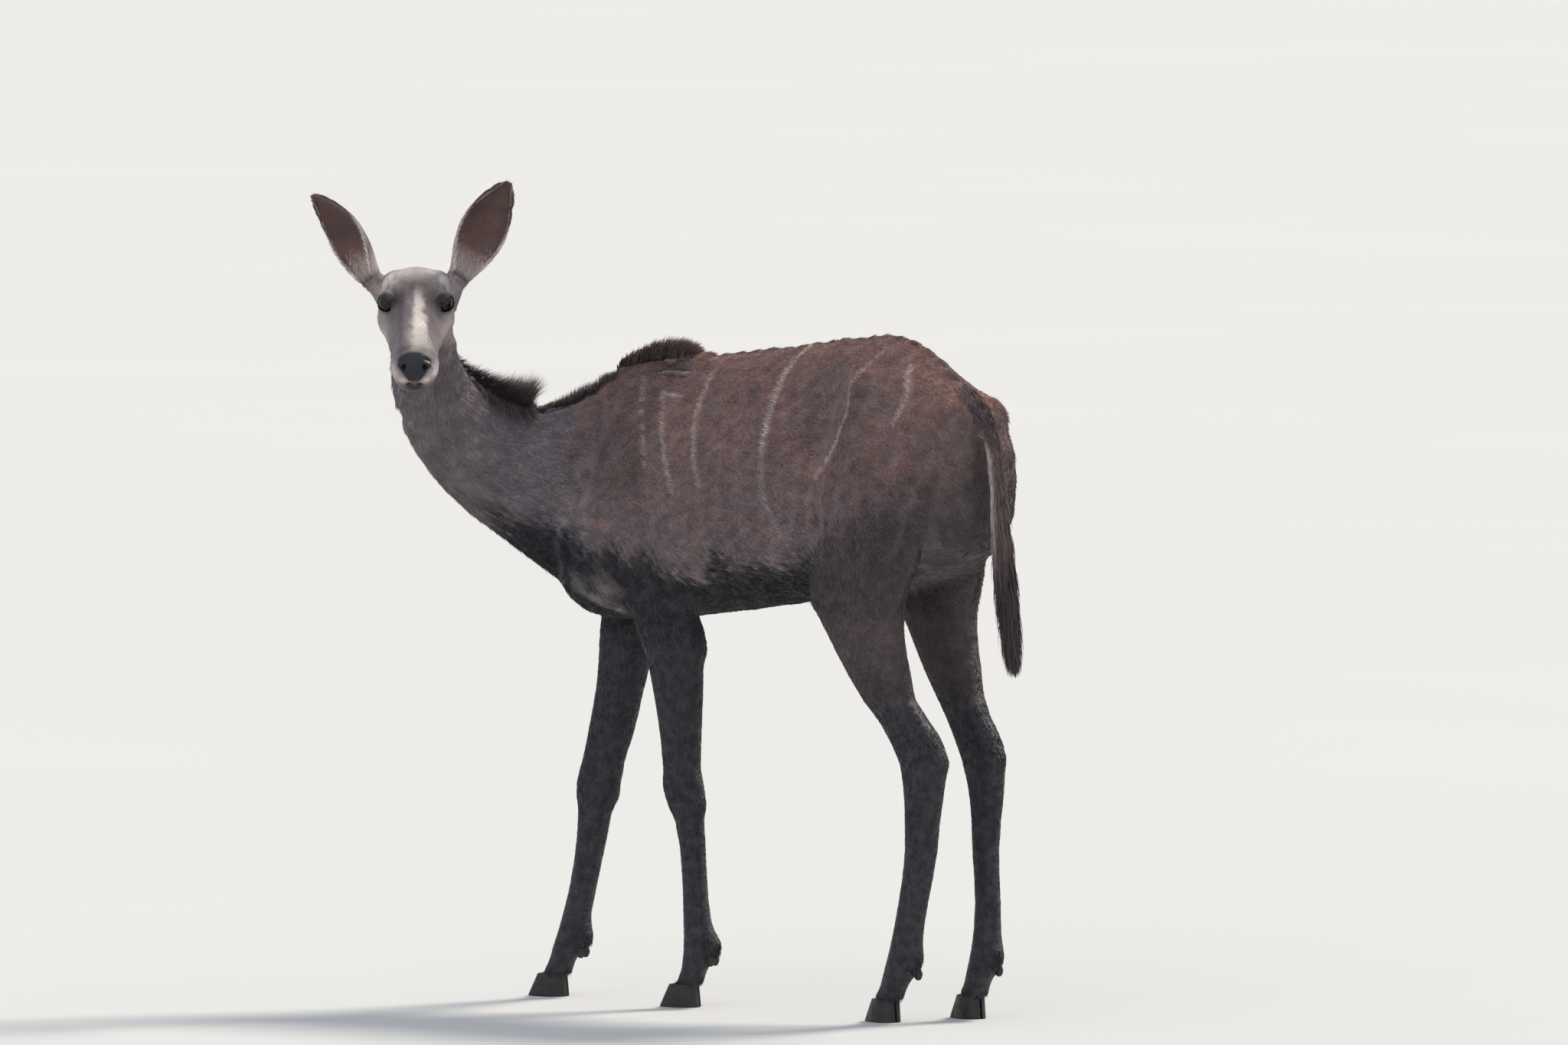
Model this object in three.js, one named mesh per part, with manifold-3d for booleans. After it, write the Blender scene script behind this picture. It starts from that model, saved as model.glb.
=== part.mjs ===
// A greater kudu cow, life size, standing in mid stride with her head turned back to her left.
// Millimetres, +Z up.  She heads toward -X, her left side faces -Y, and the ground is z = 0.
import * as THREE from 'three';
import { mergeVertices } from 'three/addons/utils/BufferGeometryUtils.js';
import Module from 'manifold-3d';

const wasm = await Module();
wasm.setup();

// Driving dimensions
const GAP = 0.4;                   // width of the parting slits between pieces
const EYE_GAP = 0.8;               // room round the eyeball in its socket
const REAR_BEND = 0.00022;         // sideways bend of the spine behind the middle of the trunk
const FRONT_BEND = 0.00041;        // and in front of it
const PELVIS_YAW = 7;              // heading of the pelvis, degrees away from -X
const SHOULDER_YAW = -20;          // heading of the shoulders
const HEAD_YAW = -130;             // heading of the face
const HEAD_PITCH = 30;             // slope of the face below the horizontal
const POLL = [-624, -352, 1410];   // back of the skull
const HIP = [396, -46, 0];         // ground point between the hip joints
const WITHERS = [-298, -26, 0];    // ground point under the withers
const EYE_RADIUS = 20;
const EYE_ALONG = 112;             // eye centres: distance down the face from the poll
const EYE_APART = 51;              // and half their distance apart
const EYE_DROP = -16;              // and their height against the line of the face
const EAR_HALF_WIDTH = 49;
const EAR_WALL = 5;
const WITHERS_TOP = [1240, 1222];  // line of the withers under the mane, back and front
const WITHERS_MANE = 42;           // height of the mane on the withers
const NECK_MANE = 30;              // and along the neck
const TUFT_LOCK = 95;              // length of the locks of the tail tuft
const HOOF_LENGTH = 78;
const HOOF_HEIGHT = 44;
const CLAW_WIDTH = 25;
const CLEFT = 5;                   // gap between the two claws of a foot
const AROUND_TRUNK = 28;
const AROUND_NECK = 20;
const AROUND_HEAD = 24;
const AROUND_LEG = 14;

// Colours, roughness
const LOOKS = {
  coat: [0x8d7468, 0.85],
  face: [0x8f7d74, 0.8],
  mud: [0x2f3136, 0.55],
  horn: [0x26262a, 0.5],
  eye: [0x120e0c, 0.08],
  ear: [0x6d574c, 0.85],
  tail: [0x5b4b43, 0.9],
};

const rad = THREE.MathUtils.degToRad;
const V = (x, y, z) => new THREE.Vector3(x, y, z);

// Smooth blend through the rows of a table, t from 0 to 1 along the rows
function blend(rows, t) {
  const last = rows.length - 1;
  const at = Math.min(Math.max(t, 0), 1) * last;
  const i = Math.min(Math.floor(at), last - 1);
  const f = at - i;
  const a = rows[Math.max(i - 1, 0)];
  const b = rows[i];
  const c = rows[i + 1];
  const d = rows[Math.min(i + 2, last)];
  return b.map((_, k) => {
    const m0 = (c[k] - a[k]) / 2;
    const m1 = (d[k] - b[k]) / 2;
    const f2 = f * f;
    const f3 = f2 * f;
    return (2 * f3 - 3 * f2 + 1) * b[k] + (f3 - 2 * f2 + f) * m0
      + (3 * f2 - 2 * f3) * c[k] + (f3 - f2) * m1;
  });
}

// Closed body from rings of points of equal count, ends closed with a fan
function skinRings(rings) {
  const n = rings[0].length;
  const points = rings.flat();
  const index = [];
  for (let i = 0; i < rings.length - 1; i++) {
    for (let j = 0; j < n; j++) {
      const k = (j + 1) % n;
      const a = i * n + j;
      const b = i * n + k;
      const c = a + n;
      const d = b + n;
      index.push(a, b, d, a, d, c);
    }
  }
  for (const [start, flip] of [[0, true], [(rings.length - 1) * n, false]]) {
    const middle = V(0, 0, 0);
    for (let j = 0; j < n; j++) {
      middle.addScaledVector(points[start + j], 1 / n);
    }
    points.push(middle);
    const m = points.length - 1;
    for (let j = 0; j < n; j++) {
      const a = start + j;
      const b = start + (j + 1) % n;
      index.push(...(flip ? [m, b, a] : [m, a, b]));
    }
  }
  const geometry = new THREE.BufferGeometry();
  const flat = points.flatMap((p) => [p.x, p.y, p.z]);
  geometry.setAttribute('position', new THREE.Float32BufferAttribute(flat, 3));
  geometry.setIndex(index);
  return facingOut(geometry);
}

// Turns every face round when the body is inside out
function facingOut(geometry) {
  const p = geometry.attributes.position;
  const ids = geometry.index.array;
  let volume = 0;
  for (let i = 0; i < ids.length; i += 3) {
    const a = V().fromBufferAttribute(p, ids[i]);
    const b = V().fromBufferAttribute(p, ids[i + 1]);
    const c = V().fromBufferAttribute(p, ids[i + 2]);
    volume += a.dot(b.cross(c));
  }
  if (volume < 0) {
    for (let i = 0; i < ids.length; i += 3) {
      [ids[i], ids[i + 1]] = [ids[i + 1], ids[i]];
    }
  }
  return geometry;
}

// Ring of points: squareness n > 2 fills the corners, pinch narrows the upper half
function ring(middle, side, up, halfWidth, above, below, n, pinch, count) {
  const points = [];
  for (let j = 0; j < count; j++) {
    const angle = (2 * Math.PI * j) / count;
    const c = Math.cos(angle);
    const s = Math.sin(angle);
    const high = Math.sign(s) * Math.abs(s) ** (2 / n) * (s > 0 ? above : below);
    const wide = Math.sign(c) * Math.abs(c) ** (2 / n) * halfWidth * (1 - pinch * s);
    points.push(middle.clone().addScaledVector(side, wide).addScaledVector(up, high));
  }
  return points;
}

// Pushes the surface out (or in) around a spot, fading with distance
function press(geometry, spot, reach, amount) {
  geometry.computeVertexNormals();
  const p = geometry.attributes.position;
  const normal = geometry.attributes.normal;
  const [x, y, z] = spot;
  const [rx, ry, rz] = Array.isArray(reach) ? reach : [reach, reach, reach];
  for (let i = 0; i < p.count; i++) {
    const d2 = ((p.getX(i) - x) / rx) ** 2 + ((p.getY(i) - y) / ry) ** 2
      + ((p.getZ(i) - z) / rz) ** 2;
    if (d2 > 6) continue;
    const push = amount * Math.exp(-d2);
    p.setXYZ(i, p.getX(i) + push * normal.getX(i), p.getY(i) + push * normal.getY(i),
      p.getZ(i) + push * normal.getZ(i));
  }
  return geometry;
}

function solid(geometry) {
  const plain = geometry.clone();
  plain.deleteAttribute('normal');
  plain.deleteAttribute('uv');
  const merged = mergeVertices(plain, 1e-3);
  return new wasm.Manifold(new wasm.Mesh({
    numProp: 3,
    vertProperties: new Float32Array(merged.attributes.position.array),
    triVerts: new Uint32Array(merged.index.array),
  }));
}

function geometryOf(body) {
  const mesh = body.getMesh();
  const geometry = new THREE.BufferGeometry();
  geometry.setAttribute('position', new THREE.Float32BufferAttribute(mesh.vertProperties, 3));
  geometry.setIndex(Array.from(mesh.triVerts));
  return geometry;
}

// Closes up edges too short to matter, so that no sliver face is left
function tidied(geometry, shortest) {
  const p = geometry.attributes.position;
  const ids = Array.from(geometry.index.array);
  const into = Array.from({ length: p.count }, (_, i) => i);
  const root = (i) => {
    while (into[i] !== i) i = into[i];
    return i;
  };
  const at = (i) => V().fromBufferAttribute(p, i);
  for (let i = 0; i < ids.length; i += 3) {
    for (let k = 0; k < 3; k++) {
      const a = root(ids[i + k]);
      const b = root(ids[i + (k + 1) % 3]);
      if (a !== b && at(a).distanceTo(at(b)) < shortest) into[b] = a;
    }
  }
  const kept = [];
  for (let i = 0; i < ids.length; i += 3) {
    const [a, b, c] = [root(ids[i]), root(ids[i + 1]), root(ids[i + 2])];
    if (a !== b && b !== c && c !== a) kept.push(a, b, c);
  }
  const flat = new THREE.BufferGeometry();
  flat.setAttribute('position', p.clone());
  flat.setIndex(kept);
  return mergeVertices(flat.toNonIndexed(), 1e-4);
}

// True when every edge is shared by just two faces that run along it in opposite ways
function isClosed(geometry) {
  const ids = geometry.index.array;
  const seen = new Set();
  for (let i = 0; i < ids.length; i += 3) {
    for (let k = 0; k < 3; k++) {
      const key = `${ids[i + k]} ${ids[i + (k + 1) % 3]}`;
      if (seen.has(key)) return false;
      seen.add(key);
    }
  }
  for (const key of seen) {
    if (!seen.has(key.split(' ').reverse().join(' '))) return false;
  }
  return true;
}

// The most tidying that leaves the body closed
function tidiest(body) {
  const geometry = geometryOf(body);
  for (const shortest of [0.5, 0.3, 0.2, 0.12, 0.06, 0.03]) {
    const tried = tidied(geometry, shortest);
    if (isClosed(tried)) return tried;
  }
  return tidied(geometry, 0.001);
}

function boundsOf(body) {
  const geometry = geometryOf(body);
  geometry.computeBoundingBox();
  return geometry.boundingBox;
}

function largest(body) {
  const size = (b) => boundsOf(b).getSize(V(0, 0, 0)).length();
  return body.decompose().reduce((best, b) => (size(b) > size(best) ? b : best));
}

// The piece of a cut body whose box has its middle nearest to a point
function pieceNear(pieces, point) {
  const away = (b) => boundsOf(b).getCenter(V(0, 0, 0)).distanceTo(V(...point));
  return pieces.reduce((best, b) => (away(b) < away(best) ? b : best));
}

// Thin disc that parts one piece from the next
function slit(point, normal, radius) {
  const disc = new THREE.CylinderGeometry(radius, radius, GAP, 24);
  const turn = new THREE.Quaternion();
  turn.setFromUnitVectors(V(0, 1, 0), V(...normal).normalize());
  disc.applyQuaternion(turn);
  disc.translate(...point);
  return solid(disc);
}

const forward = (yaw) => V(-Math.cos(rad(yaw)), Math.sin(rad(yaw)), 0);
const leftOf = (yaw) => V(-Math.sin(rad(yaw)), -Math.cos(rad(yaw)), 0);
const midline = (x) => -(x > 0 ? REAR_BEND : FRONT_BEND) * x * x;

// Trunk: x, top of back, belly line, half width, squareness, pinch at the top
const TRUNK = [
  [534, 1118, 1000, 28, 2, 0],
  [522, 1152, 925, 74, 2.1, 0.05],
  [494, 1186, 878, 112, 2.1, 0.12],
  [450, 1219, 850, 133, 2.1, 0.24],
  [390, 1254, 832, 146, 2.1, 0.36],
  [330, 1280, 818, 152, 2.1, 0.42],
  [265, 1288, 806, 148, 2.1, 0.40],
  [195, 1282, 795, 146, 2.1, 0.36],
  [120, 1273, 785, 156, 2.1, 0.36],
  [45, 1263, 774, 168, 2.1, 0.38],
  [-35, 1253, 762, 173, 2.1, 0.40],
  [-115, 1243, 751, 167, 2.1, 0.44],
  [-190, 1238, 742, 152, 2.1, 0.50],
  [-255, 1238, 735, 136, 2.1, 0.54],
  [-315, 1228, 730, 124, 2.1, 0.50],
  [-375, 1200, 732, 112, 2.1, 0.40],
  [-430, 1156, 744, 98, 2.1, 0.22],
  [-470, 1104, 784, 74, 2.1, 0.08],
  [-492, 1050, 840, 34, 2, 0],
];

function makeTrunk() {
  const rings = [];
  const steps = 28;
  for (let i = 0; i <= steps; i++) {
    const [x, top, bottom, half, n, pinch] = blend(TRUNK, i / steps);
    const slope = -2 * (x > 0 ? REAR_BEND : FRONT_BEND) * x;
    const side = V(-slope, 1, 0).normalize().negate();
    const mid = bottom + (top - bottom) * 0.48;
    rings.push(ring(V(x, midline(x), mid), side, V(0, 0, 1), half,
      top - mid, mid - bottom, n, pinch, AROUND_TRUNK));
  }
  const body = skinRings(rings);
  for (const s of [-1, 1]) {
    const at = (x, y) => [x, midline(x) + s * y];
    press(body, [...at(262, 128), 1205], [46, 60, 34], 30);    // point of the hip
    press(body, [...at(330, 150), 1140], [60, 70, 60], -16);   // hollow behind it
    press(body, [...at(180, 140), 1120], [62, 70, 75], -26);   // hollow of the flank
    press(body, [...at(505, 95), 1160], [36, 50, 40], 20);     // pin bone
    press(body, [...at(440, 110), 1215], [50, 60, 30], -14);   // dip beside the tail head
    press(body, [...at(-250, 120), 1120], [60, 80, 110], 14);  // shoulder blade
    press(body, [...at(-268, 90), 1225], [45, 50, 28], 12);    // its top edge
    press(body, [...at(-430, 95), 905], [50, 60, 60], 26);     // point of the shoulder
    press(body, [...at(-150, 140), 1190], [40, 60, 60], -12);  // hollow behind the blade
  }
  return body;
}

// Legs, measured at their own side: forward of the base point, height, side offset,
// half depth, half width
const NEAR_FORE = [
  [-10, 1130, 40, 50, 20],
  [0, 1030, 74, 88, 36],
  [0, 930, 92, 92, 44],
  [-15, 850, 100, 84, 44],
  [-38, 780, 100, 72, 42],
  [-58, 712, 98, 60, 40],
  [-70, 655, 97, 50, 36],
  [-76, 600, 96, 43, 32],
  [-80, 520, 94, 35, 28],
  [-82, 455, 92, 31, 26],
  [-88, 405, 91, 31, 27],
  [-96, 360, 90, 23, 21],
  [-104, 290, 90, 19, 18],
  [-108, 215, 90, 19, 18],
  [-113, 155, 90, 23, 21],
  [-118, 112, 90, 28, 25],
  [-108, 76, 90, 23, 23],
  [-97, 48, 90, 27, 27],
  [-92, 34, 90, 29, 28],
];
const FAR_FORE = [
  [-10, 1130, 40, 50, 20],
  [10, 1030, 74, 88, 36],
  [40, 930, 92, 90, 44],
  [62, 850, 100, 80, 44],
  [80, 780, 100, 68, 42],
  [94, 712, 98, 58, 40],
  [103, 655, 97, 48, 36],
  [112, 600, 96, 42, 33],
  [130, 520, 94, 38, 30],
  [147, 455, 92, 34, 28],
  [156, 405, 91, 33, 28],
  [163, 360, 90, 26, 23],
  [172, 290, 90, 22, 20],
  [186, 215, 90, 21, 19],
  [200, 155, 90, 23, 21],
  [211, 108, 90, 27, 25],
  [226, 76, 90, 24, 23],
  [238, 48, 90, 28, 27],
  [243, 34, 90, 30, 28],
];
const NEAR_HIND = [
  [-10, 1160, 44, 60, 24],
  [10, 1070, 78, 116, 44],
  [40, 960, 100, 140, 58],
  [62, 870, 110, 132, 60],
  [78, 800, 116, 116, 56],
  [62, 730, 114, 92, 48],
  [36, 670, 110, 72, 42],
  [2, 605, 106, 56, 34],
  [-42, 545, 100, 47, 28],
  [-70, 495, 96, 43, 26],
  [-71, 440, 94, 34, 23],
  [-66, 385, 92, 26, 21],
  [-60, 310, 90, 24, 20],
  [-44, 235, 90, 24, 20],
  [-28, 165, 90, 26, 22],
  [-16, 115, 90, 30, 26],
  [4, 78, 90, 25, 24],
  [22, 48, 90, 28, 27],
  [28, 34, 90, 30, 28],
];
const FAR_HIND = [
  [-10, 1160, 44, 60, 24],
  [20, 1070, 78, 116, 44],
  [64, 960, 100, 138, 58],
  [98, 870, 110, 124, 60],
  [112, 800, 116, 104, 56],
  [92, 730, 114, 80, 46],
  [66, 670, 110, 64, 40],
  [30, 605, 104, 50, 32],
  [-6, 545, 99, 43, 27],
  [-33, 495, 96, 40, 25],
  [-46, 440, 94, 32, 22],
  [-49, 385, 92, 23, 19],
  [-51, 310, 90, 20, 17],
  [-57, 235, 90, 20, 17],
  [-56, 165, 90, 23, 20],
  [-50, 115, 90, 27, 24],
  [-34, 78, 90, 24, 23],
  [-20, 48, 90, 27, 27],
  [-15, 34, 90, 29, 28],
];
const LEGS = {
  foreleg_left: { rows: NEAR_FORE, base: WITHERS, yaw: SHOULDER_YAW, side: 1, cut: 722 },
  foreleg_right: { rows: FAR_FORE, base: WITHERS, yaw: SHOULDER_YAW, side: -1, cut: 722 },
  hindleg_left: { rows: NEAR_HIND, base: HIP, yaw: PELVIS_YAW, side: 1, cut: 776 },
  hindleg_right: { rows: FAR_HIND, base: HIP, yaw: PELVIS_YAW, side: -1, cut: 776 },
};

function legPoint({ base, yaw, side }, ahead, across, height) {
  return V(base[0], base[1], height)
    .addScaledVector(forward(yaw), ahead)
    .addScaledVector(leftOf(yaw), across * side);
}

// The row of a leg's table that lies nearest to a height
function rowAt(leg, height) {
  const off = (row) => Math.abs(row[1] - height);
  return leg.rows.reduce((a, b) => (off(b) < off(a) ? b : a));
}

function makeLeg(leg) {
  const steps = 26;
  const rings = [];
  const fore = forward(leg.yaw);
  const left = leftOf(leg.yaw);
  for (let i = 0; i <= steps; i++) {
    const [ahead, height, across, deep, wide] = blend(leg.rows, i / steps);
    const middle = legPoint(leg, ahead, across, height);
    rings.push(ring(middle, left, fore, wide, deep, deep, 2.1, 0, AROUND_LEG));
  }
  const body = skinRings(rings);
  const hind = leg.base === HIP;
  const spot = (height, ahead, across) => {
    const [f, , l] = rowAt(leg, height);
    const p = legPoint(leg, f + ahead, l + across, height);
    return [p.x, p.y, p.z];
  };
  if (hind) {
    press(body, spot(800, 110, 0), 48, 12);      // kneecap
    press(body, spot(515, -44, 0), [30, 30, 26], 14);   // point of the hock
    press(body, spot(590, -46, 0), [26, 26, 42], -8);   // hollow before the tendon
    press(body, spot(590, 10, 30), [40, 40, 50], -6);
  } else {
    press(body, spot(700, -58, 0), [26, 26, 30], 18);   // elbow
    press(body, spot(405, 30, 0), [24, 24, 30], 6);     // knee
    press(body, spot(395, -30, 0), [18, 18, 20], 6);    // bone behind the knee
  }
  press(body, spot(300, 0, 18), [14, 14, 70], -2);
  press(body, spot(115, -28, 0), 22, 5);         // back of the fetlock
  return body;
}

// One claw: flat sole on the ground, steep wall, toe rounded, inner side flat against the cleft
function makeClaw(leg, inner) {
  const last = leg.rows[leg.rows.length - 1];
  const centre = last[0] + 8;
  const rings = [];
  for (let i = 0; i <= 5; i++) {
    const t = i / 5;
    const height = t * HOOF_HEIGHT;
    const shrink = 1 - 0.30 * t;
    const points = [];
    for (let j = 0; j < 14; j++) {
      const angle = (2 * Math.PI * j) / 14;
      const c = Math.cos(angle);
      const s = Math.sin(angle);
      const toe = c > 0 ? 0.62 : 0.44;
      const along = c * HOOF_LENGTH * toe * shrink - 6 * t;
      const out = Math.max(s, 0) * CLAW_WIDTH * (1 - 0.25 * Math.max(c, 0)) * (1 - 0.12 * t);
      const across = (inner ? -1 : 1) * (CLEFT / 2 + out);
      points.push(legPoint(leg, centre + along, last[2] + across, height));
    }
    // keep one flat inner wall: drop the doubled points below the cleft line
    rings.push(points.filter((_, j) => j <= 7));
  }
  return skinRings(rings);
}

// Small hanging claw behind the fetlock; grown makes it a little larger, to cut its seat
function makeDewclaw(leg, inner, grown) {
  const row = leg.rows[leg.rows.length - 4];
  const cone = new THREE.SphereGeometry(1, 6, 4);
  cone.scale(10 + grown, 8 + grown, 14 + grown);
  cone.rotateZ(-rad(leg.yaw));
  const p = legPoint(leg, row[0] - row[3] + 3, row[2] + (inner ? -13 : 13), row[1] - 22);
  cone.translate(p.x, p.y, p.z);
  return cone;
}

// Neck: middle x, y, z, half width, above, below
const NECK = [
  [-345, -50, 1010, 62, 140, 170],
  [-400, -75, 1010, 88, 158, 224],
  [-450, -112, 1010, 88, 134, 206],
  [-500, -160, 1018, 78, 112, 150],
  [-548, -212, 1040, 70, 96, 114],
  [-585, -262, 1084, 65, 86, 94],
  [-608, -300, 1140, 62, 80, 86],
  [-618, -324, 1200, 62, 76, 82],
  [-620, -340, 1262, 62, 72, 76],
  [-616, -352, 1318, 60, 62, 66],
];

const NECK_PATH = new THREE.CatmullRomCurve3(NECK.map(([x, y, z]) => V(x, y, z)));

// Middle, directions and sizes of the neck at t from its root to the skull
function neckAt(t) {
  const [x, y, z, half, above, below] = blend(NECK, t);
  const along = NECK_PATH.getTangent(t);
  const side = V(0, 0, 1).cross(along).normalize();
  if (t > 0.6) side.lerp(leftOf(HEAD_YAW), (t - 0.6) / 0.4 * 0.8).normalize();
  const up = along.clone().cross(side).normalize();
  return { middle: V(x, y, z), along, side, up, half, above, below };
}

function makeNeck() {
  const steps = 18;
  const rings = [];
  for (let i = 0; i <= steps; i++) {
    const { middle, side, up, half, above, below } = neckAt(i / steps);
    rings.push(ring(middle, side, up, half, above, below, 2.1, 0.12, AROUND_NECK));
  }
  return skinRings(rings);
}

// Head, measured along the face: distance from the poll, line of the face, jaw line, half width,
// squareness, pinch
const HEAD = [
  [-24, -38, -80, 22, 2.0, 0],
  [-8, -12, -108, 44, 2.1, 0],
  [20, 6, -124, 58, 2.2, 0],
  [52, 15, -128, 66, 2.3, 0],
  [84, 18, -126, 70, 2.3, 0.04],
  [112, 16, -119, 69, 2.3, 0.08],
  [142, 12, -108, 62, 2.3, 0.12],
  [172, 8, -97, 55, 2.3, 0.14],
  [205, 6, -88, 50, 2.3, 0.12],
  [240, 5, -80, 46, 2.3, 0.08],
  [272, 3, -79, 44, 2.4, 0.02],
  [300, 0, -83, 43, 2.5, 0],
  [320, -7, -82, 38, 2.4, 0],
  [334, -18, -74, 29, 2.2, 0],
  [340, -31, -61, 14, 2, 0],
];

const FACE = forward(HEAD_YAW).multiplyScalar(Math.cos(rad(HEAD_PITCH)))
  .add(V(0, 0, -Math.sin(rad(HEAD_PITCH))));
const FACE_LEFT = leftOf(HEAD_YAW);
const FACE_UP = FACE.clone().cross(FACE_LEFT).normalize();
function facePoint(along, left, up) {
  return V(...POLL).addScaledVector(FACE, along).addScaledVector(FACE_LEFT, left)
    .addScaledVector(FACE_UP, up);
}

function headLoft(inset) {
  const steps = 24;
  const rings = [];
  for (let i = 0; i <= steps; i++) {
    const [along, top, jaw, half, n, pinch] = blend(HEAD, i / steps);
    const mid = (top + jaw) / 2;
    const high = Math.max((top - jaw) / 2 - inset, 2);
    rings.push(ring(facePoint(along, 0, mid), FACE_LEFT, FACE_UP, Math.max(half - inset, 2),
      high, high, n, pinch, AROUND_HEAD));
  }
  return skinRings(rings);
}

const spotOnFace = (along, left, up) => facePoint(along, left, up).toArray();

function makeHead() {
  const body = headLoft(0);
  for (const s of [-1, 1]) {
    press(body, spotOnFace(98, s * 62, 6), [28, 26, 18], 9);      // brow over the eye
    press(body, spotOnFace(150, s * 54, -16), 24, -5);            // hollow before the eye
    press(body, spotOnFace(122, s * 62, -54), [40, 30, 26], 5);   // cheek bone
    press(body, spotOnFace(196, s * 42, -34), 34, -4);            // hollow of the cheek
    press(body, spotOnFace(52, s * 58, -78), 38, 6);              // angle of the jaw
    press(body, spotOnFace(318, s * 26, -18), 15, 4);             // wing of the nostril
    press(body, spotOnFace(296, s * 38, -42), 20, 4);             // upper lip
    press(body, spotOnFace(26, s * 62, -36), 30, 7);              // seat of the ear
  }
  let head = solid(body);
  // eyelids: a shell round the eyeball, open in an almond toward the side
  for (const s of [-1, 1]) {
    const centre = eyeCentre(s);
    const shell = new THREE.SphereGeometry(EYE_RADIUS + 3.5, 14, 8);
    shell.translate(centre.x, centre.y, centre.z);
    head = head.add(solid(shell));
    const opening = new THREE.SphereGeometry(1, 12, 8);
    opening.scale(19.5, 12.5, 15);
    placeOnEye(opening, s, EYE_RADIUS * 0.74);
    head = head.subtract(solid(opening));
    const seat = new THREE.SphereGeometry(EYE_RADIUS + EYE_GAP, 14, 10);
    seat.translate(centre.x, centre.y, centre.z);
    head = head.subtract(solid(seat));
    const nostril = new THREE.SphereGeometry(1, 10, 6);
    nostril.scale(14, 5, 8);
    nostril.rotateZ(s * 0.85);
    nostril.rotateY(0.5);
    seatOnFace(nostril, 329, s * 20, -24);
    head = head.subtract(solid(nostril));
  }
  // mouth line, cut only as deep as the lips
  const slot = new THREE.BoxGeometry(150, 120, 2.6);
  slot.rotateY(0.08);
  seatOnFace(slot, 318, 0, -53);
  const line = solid(slot).subtract(solid(headLoft(5)));
  head = head.subtract(line);
  return largest(head);
}

// Turns a shape from face axes (x along, y left, z up) into the head's place
function seatOnFace(geometry, along, left, up) {
  const turn = new THREE.Matrix4().makeBasis(FACE, FACE_LEFT, FACE_UP);
  const p = facePoint(along, left, up);
  geometry.applyMatrix4(turn.setPosition(p));
  return geometry;
}

const eyeCentre = (s) => facePoint(EYE_ALONG, s * EYE_APART, EYE_DROP);

// Almond opening turned to face sideways, forward and a little up
function placeOnEye(geometry, s, out) {
  const look = FACE_LEFT.clone().multiplyScalar(s).addScaledVector(FACE, 0.75)
    .addScaledVector(FACE_UP, 0.34).normalize();
  const long = FACE.clone().addScaledVector(look, -FACE.dot(look)).normalize();
  const high = look.clone().cross(long);
  const turn = new THREE.Matrix4().makeBasis(long, high, look);
  const p = eyeCentre(s).addScaledVector(look, out);
  geometry.applyMatrix4(turn.setPosition(p));
  return geometry;
}

// Ear: a cupped leaf, rolled to a tube at its root.  Rows: how far out, half width, roll in degrees
const EAR = [
  [0.0, 15, 140],
  [0.1, 20, 125],
  [0.2, 28, 106],
  [0.3, 38, 90],
  [0.4, 46, 78],
  [0.52, 50, 68],
  [0.64, 48, 60],
  [0.76, 41, 55],
  [0.88, 30, 50],
  [0.96, 17, 44],
  [1.0, 6, 38],
];

// root and tip are world points; open is the way the cup faces
function makeEar(root, tip, open) {
  const along = tip.clone().sub(root);
  const length = along.length();
  along.normalize();
  const face = open.clone().addScaledVector(along, -open.dot(along)).normalize();
  const side = along.clone().cross(face);
  const rings = [];
  const steps = 13;
  for (let i = 0; i <= steps; i++) {
    const [out, half, roll] = blend(EAR, i / steps);
    const angle = rad(roll);
    const radius = (half * (EAR_HALF_WIDTH / 54)) / Math.sin(Math.min(angle, Math.PI / 2));
    const bow = 14 * Math.sin(Math.PI * out);
    const middle = root.clone().addScaledVector(along, out * length)
      .addScaledVector(face, radius * 0.55 - bow);
    const outer = [];
    const inner = [];
    for (let j = 0; j <= 8; j++) {
      const a = -angle + (2 * angle * j) / 8;
      const wall = EAR_WALL * (1 - 0.55 * Math.abs(j / 4 - 1)) * (out > 0.95 ? 0.6 : 1);
      const at = (r) => middle.clone().addScaledVector(side, r * Math.sin(a))
        .addScaledVector(face, -r * Math.cos(a));
      outer.push(at(radius + wall / 2));
      inner.push(at(Math.max(radius - wall / 2, 0.6)));
    }
    rings.push([...outer, ...inner.reverse()]);
  }
  return skinRings(rings);
}

// Tail: middle x, y, z, half width
const TAIL = [
  [440, -48, 1196, 26],
  [492, -57, 1176, 24],
  [538, -66, 1136, 19],
  [564, -73, 1090, 16],
  [578, -77, 1035, 15],
  [587, -80, 970, 15],
  [595, -80, 900, 15],
  [603, -78, 830, 14],
  [609, -77, 775, 11],
  [613, -76, 735, 7],
  [615, -75, 712, 3],
];

function makeTail() {
  const path = new THREE.CatmullRomCurve3(TAIL.map(([x, y, z]) => V(x, y, z)));
  const steps = 22;
  const rings = [];
  for (let i = 0; i <= steps; i++) {
    const t = i / steps;
    const [x, y, z, half] = blend(TAIL, t);
    const along = path.getTangent(t);
    const side = leftOf(PELVIS_YAW);
    const up = along.clone().cross(side).normalize();
    rings.push(ring(V(x, y, z), side, up, half, half * 0.8, half * 0.8, 2.1, 0, 12));
  }
  return skinRings(rings);
}

// Where the mane stands: a point on the top line, the way up and the way along, and its height
function withersCrest(t) {
  const x = -178 - 190 * t;
  const [back, front] = WITHERS_TOP;
  const base = back + (front - back) * t - 18 * Math.max(t - 0.6, 0);
  const high = WITHERS_MANE * Math.max(Math.sin(Math.PI * t ** 0.8), 0) ** 0.7;
  const spot = V(x, midline(x), base);
  return { spot, up: V(0.15, 0, 1).normalize(), along: V(-1, -0.25, 0), high };
}

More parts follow.
